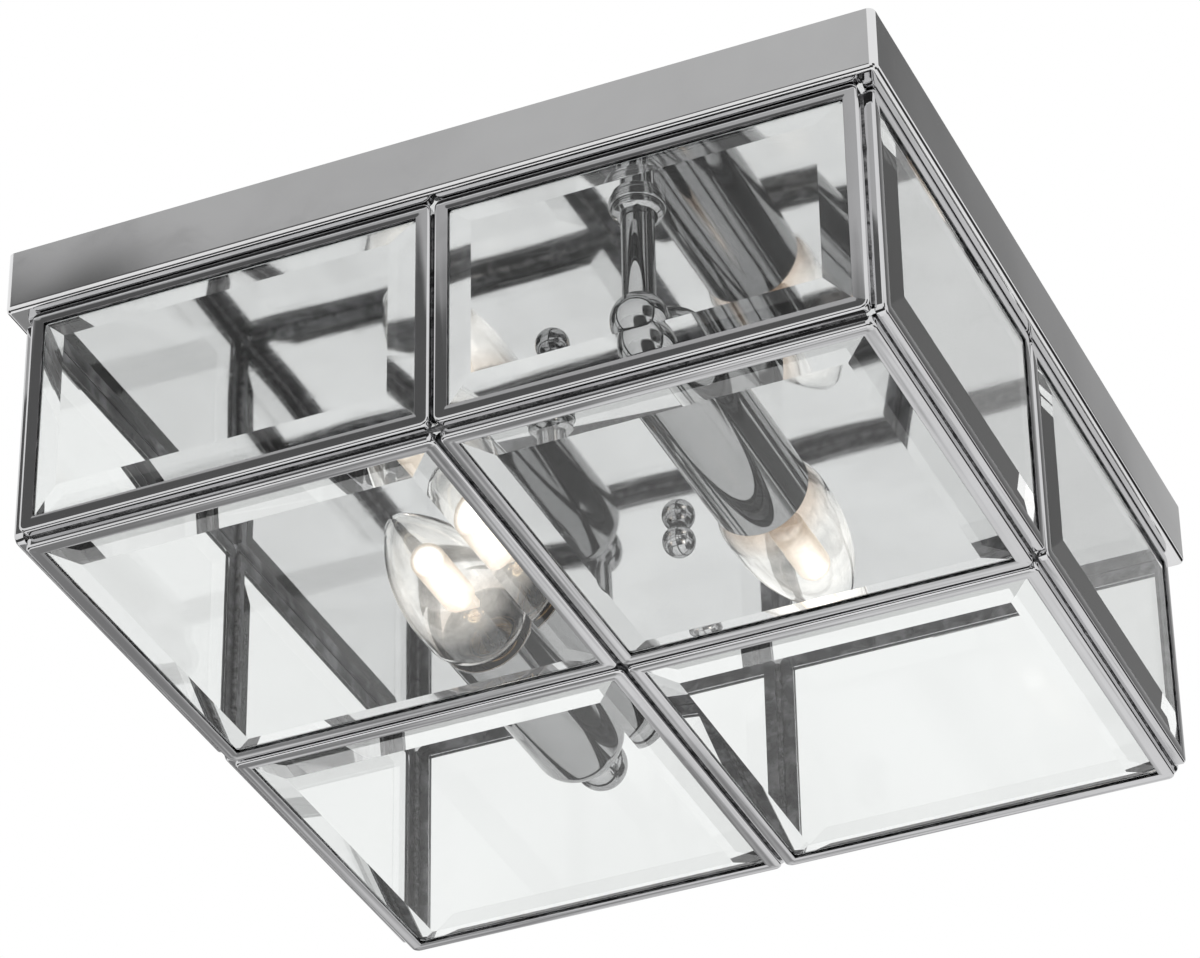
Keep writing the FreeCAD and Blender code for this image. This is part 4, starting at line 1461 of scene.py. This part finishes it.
@dataclass
class Bulb:
    """Clear bulb: glass, cap with its thread, and the lit capsule on its mount."""

    place: Matrix
    word: str
    radius: float = 17.5 * MM
    wall: float = 0.7 * MM
    neck_start: float = 79.75 * MM
    tip: float = 155.6 * MM
    widest: float = 27.3 * MM
    belt: float = 6.0 * MM
    shoulder: float = 15.0 * MM
    neck: float = 7.8 * MM
    hollow: float = 3.0 * MM
    tip_radius: float = 6.0 * MM
    capsule: float = 5.6 * MM
    capsule_foot: float = 103.75 * MM
    capsule_end: float = 137.75 * MM
    capsule_round: float = 2.2 * MM
    pinch_shares: tuple[float, float] = (1.6, 0.5)
    pinch_height: float = 7.0 * MM
    pinch_overlap: float = 2.0 * MM
    pinch_edge: float = 0.6 * MM
    mount_foot: float = 78.75 * MM
    mount_waist: float = 87.75 * MM
    mount_end: float = 98.75 * MM
    mount_radii: tuple[float, float, float] = (5.2 * MM, 3.0 * MM, 2.6 * MM)
    wire: float = 0.5 * MM
    wire_reach: float = 2.5 * MM
    bar: float = 7.0 * MM
    cap_start: float = 57.6 * MM
    contact: float = 2.6 * MM
    contact_edge: tuple[float, float] = (0.2 * MM, 0.4 * MM)
    thread_start: float = 59.6 * MM
    thread_end: float = 76.6 * MM
    thread_radius: float = 6.3 * MM
    thread_height: float = 0.6 * MM
    thread_turns: int = 6
    rim_start: float = 78.35 * MM
    rim_end: float = 83.6 * MM
    rim_radius: float = 8.4 * MM
    rim_wall: float = 0.4 * MM

    def surface(self, inset: float, steps: int = 24) -> Outline:
        """One side of the glass from its tip to its neck.

        Args:
            inset: How far it lies inside the outer side.
            steps: Parts of each arc.

        Returns:
            The outline.
        """
        widest = self.neck_start + self.widest
        belt_end = widest - self.belt
        ball = self.tip - self.tip_radius
        rise = ball - widest
        flank = (self.radius**2 + rise**2 - self.tip_radius**2) / (
            2 * (self.radius - self.tip_radius)
        )
        lean = math.atan2(rise, flank - self.radius)
        shoulder_x = self.radius - self.shoulder
        reach = self.neck + self.hollow - shoulder_x
        fall = math.sqrt((self.shoulder + self.hollow)**2 - reach**2)
        turn = math.atan2(-fall, reach)
        throat = (self.neck + self.hollow, belt_end - fall)
        return [
            (0.0, self.tip - inset),
            *arc((0.0, ball), self.tip_radius - inset, math.pi / 2, lean, steps)[1:],
            *arc((self.radius - flank, widest), flank - inset, lean, 0.0, steps)[1:],
            *arc((shoulder_x, belt_end), self.shoulder - inset, 0.0, turn, steps),
            *arc(throat, self.hollow + inset, turn + math.pi, math.pi, steps)[1:],
            (self.neck - inset, self.neck_start),
        ]

    def build(self, shop: Workshop) -> None:
        """Make the bulb.

        Args:
            shop: The workshop.
        """
        glass = revolve(self.surface(0.0) + self.surface(self.wall)[::-1], 128)
        for name, made, slot, node, more in (
            ("blown_glass", glass, "bulb_glass", "bulb_glass",
             {"sharp": 60.0, "along": (self.neck_start, self.tip)}),
            ("lit_capsule", self.capsule_shape(), "bulb_capsule_glass", "bulb_capsule",
             {"along": (self.capsule_foot, self.capsule_end)}),
            ("wired_mount", self.mount_shape(), "bulb_mount_wire", "bulb_mount", {}),
            ("threaded_cap", revolve(self.cap()), "bulb_cap_metal", "bulb_cap", {}),
        ):
            shop.piece(f"{name}_{self.word}", made, f"bulb_{self.word}", slot,
                       f"{node}_{self.word}", self.place, **more)

    def capsule_shape(self) -> Mesh:
        """Quartz capsule with its pinched foot.

        Returns:
            The mesh.
        """
        curve = self.capsule_round
        start = self.capsule_foot + self.pinch_height - self.pinch_overlap
        dome = self.capsule_end - self.capsule
        outline = [
            (0.0, start),
            *arc((self.capsule - curve, start + curve), curve, -math.pi / 2, 0.0, 8),
            *arc((0.0, dome), self.capsule, 0.0, math.pi / 2, 20)[:-1],
            (0.0, self.capsule_end),
        ]
        width, thickness = (share * self.capsule for share in self.pinch_shares)
        pinch = box((width, thickness, self.pinch_height),
                    (-width / 2, -thickness / 2, self.capsule_foot))
        bmesh.ops.bevel(pinch, geom=pinch.edges[:], offset=self.pinch_edge, segments=3,
                        affect="EDGES", profile=0.5)
        return joined([revolve(outline, 64), pinch])

    def mount_shape(self) -> Mesh:
        """Flared mount with two support wires and the bar that they hold.

        Returns:
            The mesh.
        """
        foot, waist, end = self.mount_radii
        cone = filleted([(0.0, self.mount_foot), (foot, self.mount_foot, 0.6 * MM),
                         (waist, self.mount_waist, 3.0 * MM), (end, self.mount_end, 0.6 * MM),
                         (0.0, self.mount_end)])
        thick = 2 * self.wire
        low = self.mount_end - 2 * thick
        high = self.capsule_foot + thick
        wire = [(0.0, low), (self.wire, low), (self.wire, high), (0.0, high)]
        wires = [moved(revolve(wire, 16), shift(across, 0, 0))
                 for across in (-self.wire_reach, self.wire_reach)]
        bar = box((self.bar, thick, thick), (-self.bar / 2, -self.wire, self.mount_end - self.wire))
        return joined([revolve(cone, 48), *wires, bar])

    def cap(self) -> Outline:
        """Outline of the metal cap with the ridges of its thread.

        Returns:
            The outline.
        """
        inset, step = self.contact_edge
        start = self.thread_start + step
        outline = [(0.0, self.cap_start), (self.contact - inset, self.cap_start),
                   (self.contact, self.cap_start + step), (self.contact, self.thread_start)]
        steps = 6 * self.thread_turns
        for k in range(steps + 1):
            share = k / steps
            swell = 0.5 - 0.5 * math.cos(TURN * self.thread_turns * share)
            outline.append((self.thread_radius + self.thread_height * swell,
                            start + (self.thread_end - start) * share))
        inside = self.rim_radius - self.rim_wall
        return outline + [
            (self.thread_radius + self.thread_height, self.thread_end),
            (self.rim_radius, self.rim_start), (self.rim_radius, self.rim_end),
            (inside, self.rim_end), (inside, self.mount_foot), (0.0, self.mount_foot),
        ]


@dataclass
class GlassBox:
    """Twelve channels bent round their panes, with tin run into the joints."""

    side: float = 272.6 * MM
    height: float = 82.7 * MM
    top: float = -21.9 * MM
    face: float = 4.6 * MM
    depth: float = 3.4 * MM
    wall: float = 0.7 * MM
    corner: float = 2.6 * MM
    edge: float = 0.9 * MM
    lip: float = 0.18 * MM
    bend: float = 0.3 * MM
    frame_gap: float = 1.2 * MM
    seam_gap: float = 0.2 * MM
    # Faces given the dark finish: flux marks and painted shade at the lips' edges by the glass and on
    # the back.
    stain_reach: float = 0.15 * MM
    stain_depth: float = 0.1 * MM
    stain_tilt: float = -0.6
    bead: float = 1.35 * MM
    bead_inset_share: float = 0.45
    wall_inset_share: float = 0.18
    bead_margin: float = 3.0 * MM
    bead_spacing: float = 1.1 * MM
    bead_lump: float = 0.45
    bead_grain: float = 210.0
    bead_seed: int = 7

    @property
    def span(self) -> float:
        """Length of a wall between the corners."""
        return self.side - 2 * (self.depth + self.seam_gap)

    @property
    def frame_width(self) -> float:
        """Width of one frame."""
        return (self.span - self.frame_gap) / 2

    @property
    def frame_height(self) -> float:
        """Height of a side frame."""
        return self.height - (self.depth + self.seam_gap)

    @property
    def inner(self) -> float:
        """From the light's axis to the inner side of a wall's channels."""
        return self.side / 2 - self.depth

    def section(self) -> Outline:
        """Section of a channel: inset from the outside, and place from the inner side.

        Returns:
            The outline.
        """
        return filleted([
            (0.0, 0.0, self.bend),
            (0.0, self.depth, self.edge),
            (self.face, self.depth, self.lip),
            (self.face, self.depth - self.wall, self.lip),
            (self.wall, self.depth - self.wall),
            (self.wall, self.wall),
            (self.face, self.wall, self.lip),
            (self.face, 0.0, self.lip),
        ], 5)

    def frames(self) -> Iterator[tuple[str, float, Matrix]]:
        """Tell the twelve frames one by one.

        Yields:
            Name of the pane that it holds, its height, and where it stands.
        """
        step = (self.frame_width + self.frame_gap) / 2
        middle = self.top - self.frame_height / 2
        floor = self.top - self.height + self.depth
        for wall in Wall:
            quarters, halves = wall.value
            for half, side in zip(halves, (-1, 1)):
                place = spin(quarters, "Z") @ shift(side * step, -self.inner, middle) @ spin(1, "X")
                yield f"{wall.name.lower()}_{half}", self.frame_height, place
        for row, row_side in (("front", -1), ("back", 1)):
            for half, side in (("left", -1), ("right", 1)):
                place = shift(side * step, row_side * step, floor) @ spin(2, "X")
                yield f"bottom_{row}_{half}", self.frame_width, place

    def channel(self, shop: Workshop, name: str, height: float, place: Matrix) -> None:
        """Make one channel frame.

        Args:
            shop: The workshop.
            name: Name of the pane that it holds.
            height: Its height.
            place: Where it stands.
        """
        half_width, half_height = self.frame_width / 2, height / 2
        opening = self.face - self.stain_reach

        def stained(spot: Vector, normal: Vector) -> bool:
            """Tell the back and the lip's edge at the glass, which flux has darkened and where shade
            is painted.

            Args:
                spot: A face's middle.
                normal: Its normal.

            Returns:
                Whether the face takes the dark finish of flux and painted shade.
            """
            if spot.z < self.wall:
                return normal.z < self.stain_tilt and spot.z < self.wall / 2
            return (abs(spot.x) < half_width - opening and abs(spot.y) < half_height - opening
                    and spot.z > self.depth - self.wall - self.stain_depth)

        made = swept_square(self.frame_width, height, self.corner, self.section())
        shop.piece(f"bent_channel_{name}", made, "glass_box", "frame_chrome", f"frame_{name}",
                   place, sharp=40.0, second=("inner_channel", stained))

    def build(self, shop: Workshop, frame: dict) -> None:
        """Make the frames, the panes' finish and the seams.

        Args:
            shop: The workshop.
            frame: The loaded frame.
        """
        for name, height, place in self.frames():
            self.channel(shop, name, height, place)
            shop.dress(frame, f"pane_{name}", "bevelled_glass")
        tin = bead_recipe().make(
            "tin_beads", self.seams(), shop.paints.of("solder"), Radius=self.bead,
            Spacing=self.bead_spacing, Lump=self.bead_lump, Grain=self.bead_grain,
            Seed=self.bead_seed,
        )
        shop.settle(tin, "glass_box", "solder_seams")

    def seams(self) -> Mesh:
        """Paths of the beads of tin along the inner joints.

        Returns:
            A mesh of edges.
        """
        low = self.top - self.frame_height
        foot, head = low + self.corner, self.top - self.corner
        edge = self.span / 2
        inset = self.bead * self.bead_inset_share
        post = edge + self.seam_gap - inset
        joint = -self.inner + self.bead * self.wall_inset_share
        sill, across = low + inset, edge - self.corner
        lines = [(spin(quarter, "Z") @ Vector(start), spin(quarter, "Z") @ Vector(end))
                 for quarter in range(4)
                 for start, end in (((post, post, foot), (post, post, head)),
                                    ((0.0, joint, foot), (0.0, joint, head)),
                                    ((-across, -edge + inset, sill), (across, -edge + inset, sill)))]
        floor, reach = low - self.seam_gap, edge - self.bead_margin
        lines += [((-reach, 0, floor), (reach, 0, floor)), ((0, -reach, floor), (0, reach, floor))]
        paths = bmesh.new()
        for start, end in lines:
            paths.edges.new((paths.verts.new(start), paths.verts.new(end)))
        return paths


@dataclass
class ThumbScrew:
    """Round thumb screw on the left side, with ridges for the grip."""

    spot: tuple[float, float] = (-106.3 * MM, -8.2 * MM)
    head_start: float = -145.9 * MM
    head_end: float = -142.6 * MM
    tip: float = -137.8 * MM
    radius: float = 3.6 * MM
    shank: float = 1.95 * MM
    ridge: float = 0.3 * MM
    ridges: int = 28
    ridge_share: float = 0.62

    def build(self, shop: Workshop) -> None:
        """Make the screw.

        Args:
            shop: The workshop.
        """
        turned = revolve(filleted([
            (0.0, self.head_start),
            (self.radius, self.head_start, 0.6 * MM),
            (self.radius, self.head_end, 0.3 * MM),
            (self.shank, self.head_end),
            (self.shank, self.tip, 0.3 * MM),
            (0.0, self.tip),
        ]), 64)
        bmesh.ops.recalc_face_normals(turned, faces=turned.faces)
        seeds = bmesh.new()
        middle = (self.head_start + self.head_end) / 2
        for k in range(self.ridges):
            seeds.verts.new((*on_circle(self.radius, TURN * k / self.ridges), middle))
        grip = ridge_recipe().make(
            "grip", seeds, shop.paints.of("hinge_chrome"), Width=self.ridge,
            Length=self.ridge_share * (self.head_end - self.head_start),
        )
        shop.piece("gripped_thumb_screw", joined([turned, taken(grip)]), "thumb_screw",
                   "hinge_chrome", "thumb_screw", shift(0.0, *self.spot) @ spin(1, "Y"))


@dataclass
class Fittings:
    """Threads, nuts and slotted screws above the pan and inside the arms."""

    stud_radius: float = 2.0 * MM
    stud_length: float = 28.3 * MM
    stud_pitch: float = 0.8 * MM
    stud_ridge: float = 0.26 * MM
    nipple_radius: float = 4.9 * MM
    nipple_bore: float = 3.4 * MM
    nipple_start: float = 5.1 * MM
    nipple_length: float = 22.0 * MM
    nipple_pitch: float = 1.0 * MM
    nipple_ridge: float = 0.3 * MM
    lock_corner: float = 3.9 * MM
    lock_bore: float = 2.05 * MM
    lock_span: tuple[float, float] = (-5.2 * MM, -2.0 * MM)
    nut_corner: float = 8.0 * MM
    nut_bore: float = 5.05 * MM
    nut_height: float = 3.2 * MM
    flat_share: float = 0.97
    chamfer_share: float = 0.58
    head: float = 1.85 * MM
    head_height: float = 1.4 * MM
    head_edge: float = 0.25 * MM
    slot: float = 0.25 * MM
    slot_depth: float = 0.55 * MM
    shank: float = 1.3 * MM
    shank_length: float = 1.8 * MM
    block: Point = (-62.0 * MM, 6.0 * MM, -11.5 * MM)
    pitch: float = 10.0 * MM
    offset: float = 4.2 * MM
    earth: Point = (0.0, 9.0 * MM, -2.0 * MM)
    slot_turns: tuple[float, float] = (0.5, 0.9)

    def build(self, shop: Workshop) -> None:
        """Make the fittings.

        Args:
            shop: The workshop.
        """
        winding = thread_recipe()
        paint = shop.paints.of("zinc_steel")
        studs, nipples, locks, nuts = [], [], [], []
        for side in Side:
            lamp = Lamp(side)
            stud = shift(0, -side.value * StudPair.spacing / 2, 0)
            floor = lamp.drop + CeilingPan.sheet
            studs.append(moved(self.threaded(
                winding, paint, self.stud_radius, 0.0, -self.stud_length, self.stud_length,
                self.stud_pitch, self.stud_ridge), stud))
            nipples.append(moved(self.threaded(
                winding, paint, self.nipple_radius, self.nipple_bore, self.nipple_start,
                self.nipple_length, self.nipple_pitch, self.nipple_ridge), lamp.along()))
            locks.append(moved(self.nut(self.lock_corner, self.lock_bore, *self.lock_span), stud))
            nuts.append(moved(self.nut(self.nut_corner, self.nut_bore, floor,
                                       floor + self.nut_height), lamp.upright()))
        for name, parts, slot, node in (
            ("threaded_studs", studs, "zinc_steel", "bracket_studs"),
            ("threaded_nipples", nipples, "zinc_steel", "lamp_nipples"),
            ("chamfered_lock_nuts", locks, "zinc_steel", "lock_nuts"),
            ("chamfered_stem_nuts", nuts, "zinc_steel", "stem_nuts"),
            ("slotted_screws", self.screws(), "screw_brass", "terminal_screws"),
        ):
            shop.piece(name, joined(parts), "fixture", slot, node)

    def threaded(
        self,
        winding: Recipe,
        paint: bpy.types.Material,
        radius: float,
        bore: float,
        start: float,
        length: float,
        pitch: float,
        ridge: float,
    ) -> Mesh:
        """Rod or tube about Z with a thread wound on it.

        Args:
            winding: The tree that winds the ridge.
            paint: The material.
            radius: Largest radius.
            bore: Radius of the hole, or 0.
            start: Where it starts.
            length: Its length.
            pitch: Rise in one turn.
            ridge: Height of the ridge.

        Returns:
            The mesh.
        """
        core = radius - ridge
        end = start + length
        outline = [(bore, start), (core, start), (core, end), (bore, end)]
        wound = winding.make("winding", bmesh.new(), paint, Radius=core, Pitch=pitch,
                             Length=length - 3 * ridge, Ridge=ridge)
        return joined([revolve(outline, 48), moved(taken(wound), shift(0, 0, start + 1.5 * ridge))])

    def nut(self, corner: float, bore: float, low: float, high: float) -> Mesh:
        """Hexagon nut about Z with its corners chamfered at both ends.

        Args:
            corner: Radius over the corners.
            bore: Radius of the hole.
            low: Lower end.
            high: Upper end.

        Returns:
            The mesh.
        """
        steps = 72
        sixth = TURN / 6
        flat = corner * math.cos(sixth / 2)
        inside = self.flat_share * flat
        made = bmesh.new()
        rows = []
        for k in range(steps):
            angle = TURN * k / steps
            off = (angle + sixth / 2) % sixth - sixth / 2
            radius = flat / math.cos(sixth / 2 - abs(off))
            fall = (radius - inside) * self.chamfer_share
            rows.append([
                made.verts.new((*on_circle(across, angle), along))
                for across, along in ((bore, low), (inside, low), (radius, low + fall),
                                      (radius, high - fall), (inside, high), (bore, high))
            ])
        for row, after in zip(rows, rows[1:] + rows[:1]):
            for i in range(len(row)):
                j = (i + 1) % len(row)
                made.faces.new((row[i], after[i], after[j], row[j]))
        return made

    def screw(self) -> Mesh:
        """Slotted screw with its head's underside at Z = 0 and its shank below.

        Returns:
            The mesh.
        """
        foot = self.head_height - self.slot_depth
        body = filleted([(0.0, -self.shank_length), (self.shank, -self.shank_length, 0.2 * MM),
                         (self.shank, 0.0), (self.head, 0.0), (self.head, foot), (0.0, foot)])
        parts = [revolve(body, 32)]
        start = math.asin(self.slot / self.head)
        rim, inner = (arc((0.0, 0.0), radius, start, math.pi - start, 24)
                      for radius in (self.head, self.head - self.head_edge))
        for quarters in (0, 2):
            half = bmesh.new()
            lows, highs = ([half.verts.new((x, max(y, self.slot), height)) for x, y in outline]
                           for outline, height in ((rim, foot), (inner, self.head_height)))
            half.faces.new(lows[::-1])
            half.faces.new(highs)
            for i in range(len(lows)):
                j = (i + 1) % len(lows)
                half.faces.new((lows[i], lows[j], highs[j], highs[i]))
            parts.append(moved(half, spin(quarters, "Z")))
        return joined(parts)

    def screws(self) -> list[Mesh]:
        """Screws of the terminal block, and the earth screw under the bracket.

        Returns:
            Their meshes.
        """
        x, y, z = self.block
        parts = []
        for pole in (-1, 0, 1):
            for side in (-1, 1):
                angle = self.slot_turns[0] * pole + self.slot_turns[1] * side
                turn = Matrix.Rotation(angle, 4, "Z")
                spot = shift(x + side * self.offset, y + pole * self.pitch, z)
                parts.append(moved(self.screw(), spot @ turn))
        parts.append(moved(self.screw(), shift(*self.earth) @ spin(2, "X")))
        return parts


class KeptNodes:
    """Nodes of the frame that keep their shape, by slot."""

    SLOTS = {
        "hinge_chrome": ("hinge_leaves_fixed", "hinge_leaves_moving", "hinge_pins",
                         "catch_tab", "thumb_boss"),
        "zinc_steel": ("mounting_bracket",),
        "terminal_plastic": ("terminal_block",),
        "lead_insulation": ("lamp_leads",),
    }

    def build(self, shop: Workshop, frame: dict) -> None:
        """Dress the nodes.

        Args:
            shop: The workshop.
            frame: The loaded frame.
        """
        for slot, nodes in self.SLOTS.items():
            for node in nodes:
                shop.dress(frame, node, slot)


# Camera, stage and light

def upright_axes(start: Point, end: Point) -> tuple[Vector, Vector, Vector]:
    """Axes of something upright whose third axis points from one place to another.

    Args:
        start: The first place.
        end: The other place.

    Returns:
        The three axes: level, rising, and from the one place to the other.
    """
    ahead = (Vector(end) - Vector(start)).normalized()
    level = Vector((0, 0, 1)).cross(ahead).normalized()
    return level, ahead.cross(level), ahead


@dataclass(frozen=True)
class Viewpoint:
    """Camera of the photograph: below the light and to its right."""

    place: Point = (0.49528, -1.17403, -0.91365)
    roll: float = -1.07
    focal_pixels: float = 4981.3
    centre: tuple[float, float] = (620.1, 546.1)
    sensor: float = 36.0
    near: float = 0.05

    def build(self) -> None:
        """Set the camera."""
        data = bpy.data.cameras.new("photo_camera")
        data.sensor_fit = "HORIZONTAL"
        data.sensor_width = self.sensor
        data.lens = self.focal_pixels * self.sensor / IMAGE_WIDTH
        data.shift_x = (IMAGE_WIDTH / 2 - self.centre[0]) / IMAGE_WIDTH
        data.shift_y = (self.centre[1] - IMAGE_HEIGHT / 2) / IMAGE_WIDTH
        data.clip_start = self.near
        camera = placed("photo_camera", data)
        right, up, back = upright_axes(MIDDLE, self.place)
        turn = math.radians(self.roll)
        rolled_right = right * math.cos(turn) + up * math.sin(turn)
        rolled_up = up * math.cos(turn) - right * math.sin(turn)
        axes = Matrix((rolled_right, rolled_up, back)).transposed().to_4x4()
        camera.matrix_world = Matrix.Translation(self.place) @ axes
        bpy.context.scene.camera = camera


def flat_sheet(name: str, width: float, height: float, paint: bpy.types.Material) -> bpy.types.Object:
    """Flat rectangle about the origin.

    Args:
        name: Its name.
        width: Its size along X.
        height: Its size along Y.
        paint: Its material.

    Returns:
        The object.
    """
    x, y = width / 2, height / 2
    mesh = bpy.data.meshes.new(name)
    mesh.from_pydata([(-x, -y, 0), (x, -y, 0), (x, y, 0), (-x, y, 0)], [], [(0, 1, 2, 3)])
    mesh.materials.append(paint)
    return placed(name, mesh)


@dataclass(frozen=True)
class Card:
    """Glowing grey card that the chrome mirrors, with a gradient from side to side.

    `rise` puts an oblique dark edge at that height, and 0 leaves it out. A card with `through`
    also shows in mirrors behind the glass, but not to the eye that looks through the glass, and
    its own edges are soft.
    """

    name: str
    place: Point
    size: tuple[float, float]
    left: float = 0.02
    right: float = 0.045
    rise: float = 0.0
    below: float = 0.12
    edge_slope: float = 0.04
    edge_cloud: float = 0.06
    edge_hardness: float = 16.0
    cloud_scale: float = 1.3
    cloud_share: float = 0.5
    fade_band: Band = (0.12, 0.88)
    soft_band: Band = (0.0, 0.45)
    through: bool = False

    def material(self) -> bpy.types.Material:
        """Build the card's finish.

        Returns:
            The material.
        """
        shader = Shader(f"{self.name}_paint")
        spot = shader.place()
        across, up = (shader.node("ShaderNodeSeparateXYZ", None, {"Vector": spot}, output=axis)
                      for axis in "XY")
        x, y = (wire * (1.0 / size) for wire, size in zip((across, up), self.size))
        cloud = shader.noise(self.cloud_scale, 2.0) - 0.5
        share = (x + 0.5 + cloud * self.cloud_share).between(*self.fade_band)
        tone = shader.mix(share, (self.left,) * 3, (self.right,) * 3)
        if self.rise:
            line = up - self.rise - across * self.edge_slope + cloud * self.edge_cloud
            above = (line * self.edge_hardness).between(-0.5, 0.5)
            tone = shader.mix(above, (self.below,) * 3, tone)
        paint = shader.principled(Base_Color=(0.0, 0.0, 0.0), Roughness=1.0,
                                  Specular_IOR_Level=0.0, Emission_Color=tone,
                                  Emission_Strength=1.0)
        if self.through:
            mirrored = shader.node("ShaderNodeLightPath", output="Glossy Depth").at_most(1.0)
            inside = ((0.25 - x * x) * (0.25 - y * y) * 16.0).between(*self.soft_band)
            nothing = shader.node("ShaderNodeBsdfTransparent")
            paint = shader.node("ShaderNodeMixShader", None,
                                {0: mirrored * inside, 1: nothing, 2: paint})
        return shader.done(paint)

    def build(self) -> None:
        """Set the card so that it faces the light and only shows in reflections."""
        made = flat_sheet(self.name, *self.size, self.material())
        made.location = self.place
        made.rotation_euler = Matrix(upright_axes(self.place, MIDDLE)).transposed().to_euler()
        made.visible_camera = False
        made.visible_diffuse = False
        made.visible_shadow = False
        made.visible_transmission = self.through


@dataclass
class Studio:
    """Pale room: a floor far below, a white surround, soft lamps, grey cards and flags.

    The cards and flags show only in the chrome, as a photographer's would. The cards are
    hidden from rays through the glass, so that the mirror inside sees the white room. The
    flags give the sleeves and the balls their dark streaks.
    """

    floor_height: float = -3.3
    floor_size: float = 60.0
    floor_tones: tuple[Colour, Colour] = ((0.86, 0.86, 0.86), (0.82, 0.82, 0.82))
    floor_cloud: float = 0.7
    floor_glow: float = 0.45
    surround: tuple[float, float] = (0.55, 1.0)

    LAMPS = (
        ("key", (-1.3, -2.0, -2.0), 1.5, 46.0),
        ("fill", (2.4, -0.8, -1.2), 2.0, 24.0),
        ("rim", (0.6, 2.4, 0.7), 1.6, 18.0),
    )
    CARDS = (
        Card("card_front", (-0.92, -2.14, 1.6), (1.7, 1.4), 0.56, 0.48, rise=0.012),
        Card("card_right", (0.52, 1.66, 1.28), (1.0, 1.0), 0.64, 0.17),
        Card("card_below", (-0.82, 1.95, -1.34), (1.7, 1.5), 0.28, 0.95,
             cloud_scale=3.4, cloud_share=2.2),
        Card("card_seams", (-0.86, -1.45, -2.0), (2.2, 1.3), 0.02, 0.07),
        Card("flag_right", (1.8, 2.1, -0.3), (1.7, 2.1), through=True),
        Card("flag_left", (-2.3, 1.9, 0.1), (1.4, 2.2), through=True),
        Card("flag_near", (2.3, -1.9, 0.3), (2.2, 2.6), through=True),
        Card("flag_camera", (0.77, -1.84, -1.4), (2.4, 2.2), through=True),
        Card("flag_low_right", (2.1, 0.7, -1.35), (2.1, 2.0), through=True),
        Card("flag_low_left", (-2.1, -0.4, -1.35), (2.1, 2.0), through=True),
    )

    def build(self) -> None:
        """Set the stage and the light."""
        bpy.context.scene.view_settings.view_transform = "Standard"
        self.world()
        self.floor()
        for name, place, size, power in self.LAMPS:
            self.lamp(name, place, size, power)
        for card in self.CARDS:
            card.build()

    def seen(self, tree: Tree) -> Wire:
        """1 for rays from the camera, a mirror or through glass, and else 0.

        Args:
            tree: The tree to add it to.

        Returns:
            The share.
        """
        camera, glossy, through = (tree.node("ShaderNodeLightPath", output=f"Is {kind} Ray")
                                   for kind in ("Camera", "Glossy", "Transmission"))
        return (camera + glossy + through).at_most(1.0)

    def world(self) -> None:
        """White surround for what is seen, and plain light for the rest."""
        world = bpy.data.worlds.new("surround")
        world.use_nodes = True
        tree = Tree(world.node_tree)
        plain, white = (tree.node("ShaderNodeBackground", None,
                                  {"Color": (1.0, 1.0, 1.0, 1.0), "Strength": strength})
                        for strength in self.surround)
        both = tree.node("ShaderNodeMixShader", None, {0: self.seen(tree), 1: plain, 2: white})
        tree.node("ShaderNodeOutputWorld", None, {"Surface": both})
        bpy.context.scene.world = world

    def floor(self) -> None:
        """Pale floor that keeps the light's shadow."""
        shader = Shader("pale_floor")
        tone = shader.mix(shader.noise(self.floor_cloud, 2.0), *self.floor_tones)
        paint = shader.principled(Base_Color=tone, Roughness=0.8)
        glow = shader.node("ShaderNodeEmission", None, {"Strength": self.floor_glow})
        both = shader.node("ShaderNodeAddShader", None, {0: paint, 1: glow})
        mixed = shader.node("ShaderNodeMixShader", None,
                            {0: self.seen(shader), 1: paint, 2: both})
        floor = flat_sheet("room_floor", self.floor_size, self.floor_size, shader.done(mixed))
        floor.location.z = self.floor_height

    def lamp(self, name: str, place: Point, size: float, power: float) -> None:
        """Add a soft square lamp that points at the light and that no mirror shows.

        Args:
            name: Its name.
            place: Where it stands.
            size: Its side.
            power: Its watts.
        """
        data = bpy.data.lights.new(name, "AREA")
        data.shape = "SQUARE"
        data.size = size
        data.energy = power
        lamp = placed(name, data)
        lamp.location = place
        aim = Vector(MIDDLE) - Vector(place)
        lamp.rotation_euler = aim.to_track_quat("-Z", "Y").to_euler()
        lamp.visible_camera = False
        lamp.visible_glossy = False
        lamp.visible_transmission = False


def main() -> None:
    """Build the light in its room."""
    logging.basicConfig(level=logging.INFO, format="%(message)s")
    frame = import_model()
    Viewpoint().build()
    Studio().build()
    shop = Workshop(Paints())
    CeilingPan().build(shop)
    StudPair().build(shop)
    for side in Side:
        Lamp(side).build(shop)
    GlassBox().build(shop, frame)
    ThumbScrew().build(shop)
    Fittings().build(shop)
    KeptNodes().build(shop, frame)
    LOG.info("%d pieces made", shop.count)


if __name__ == "__main__":
    main()
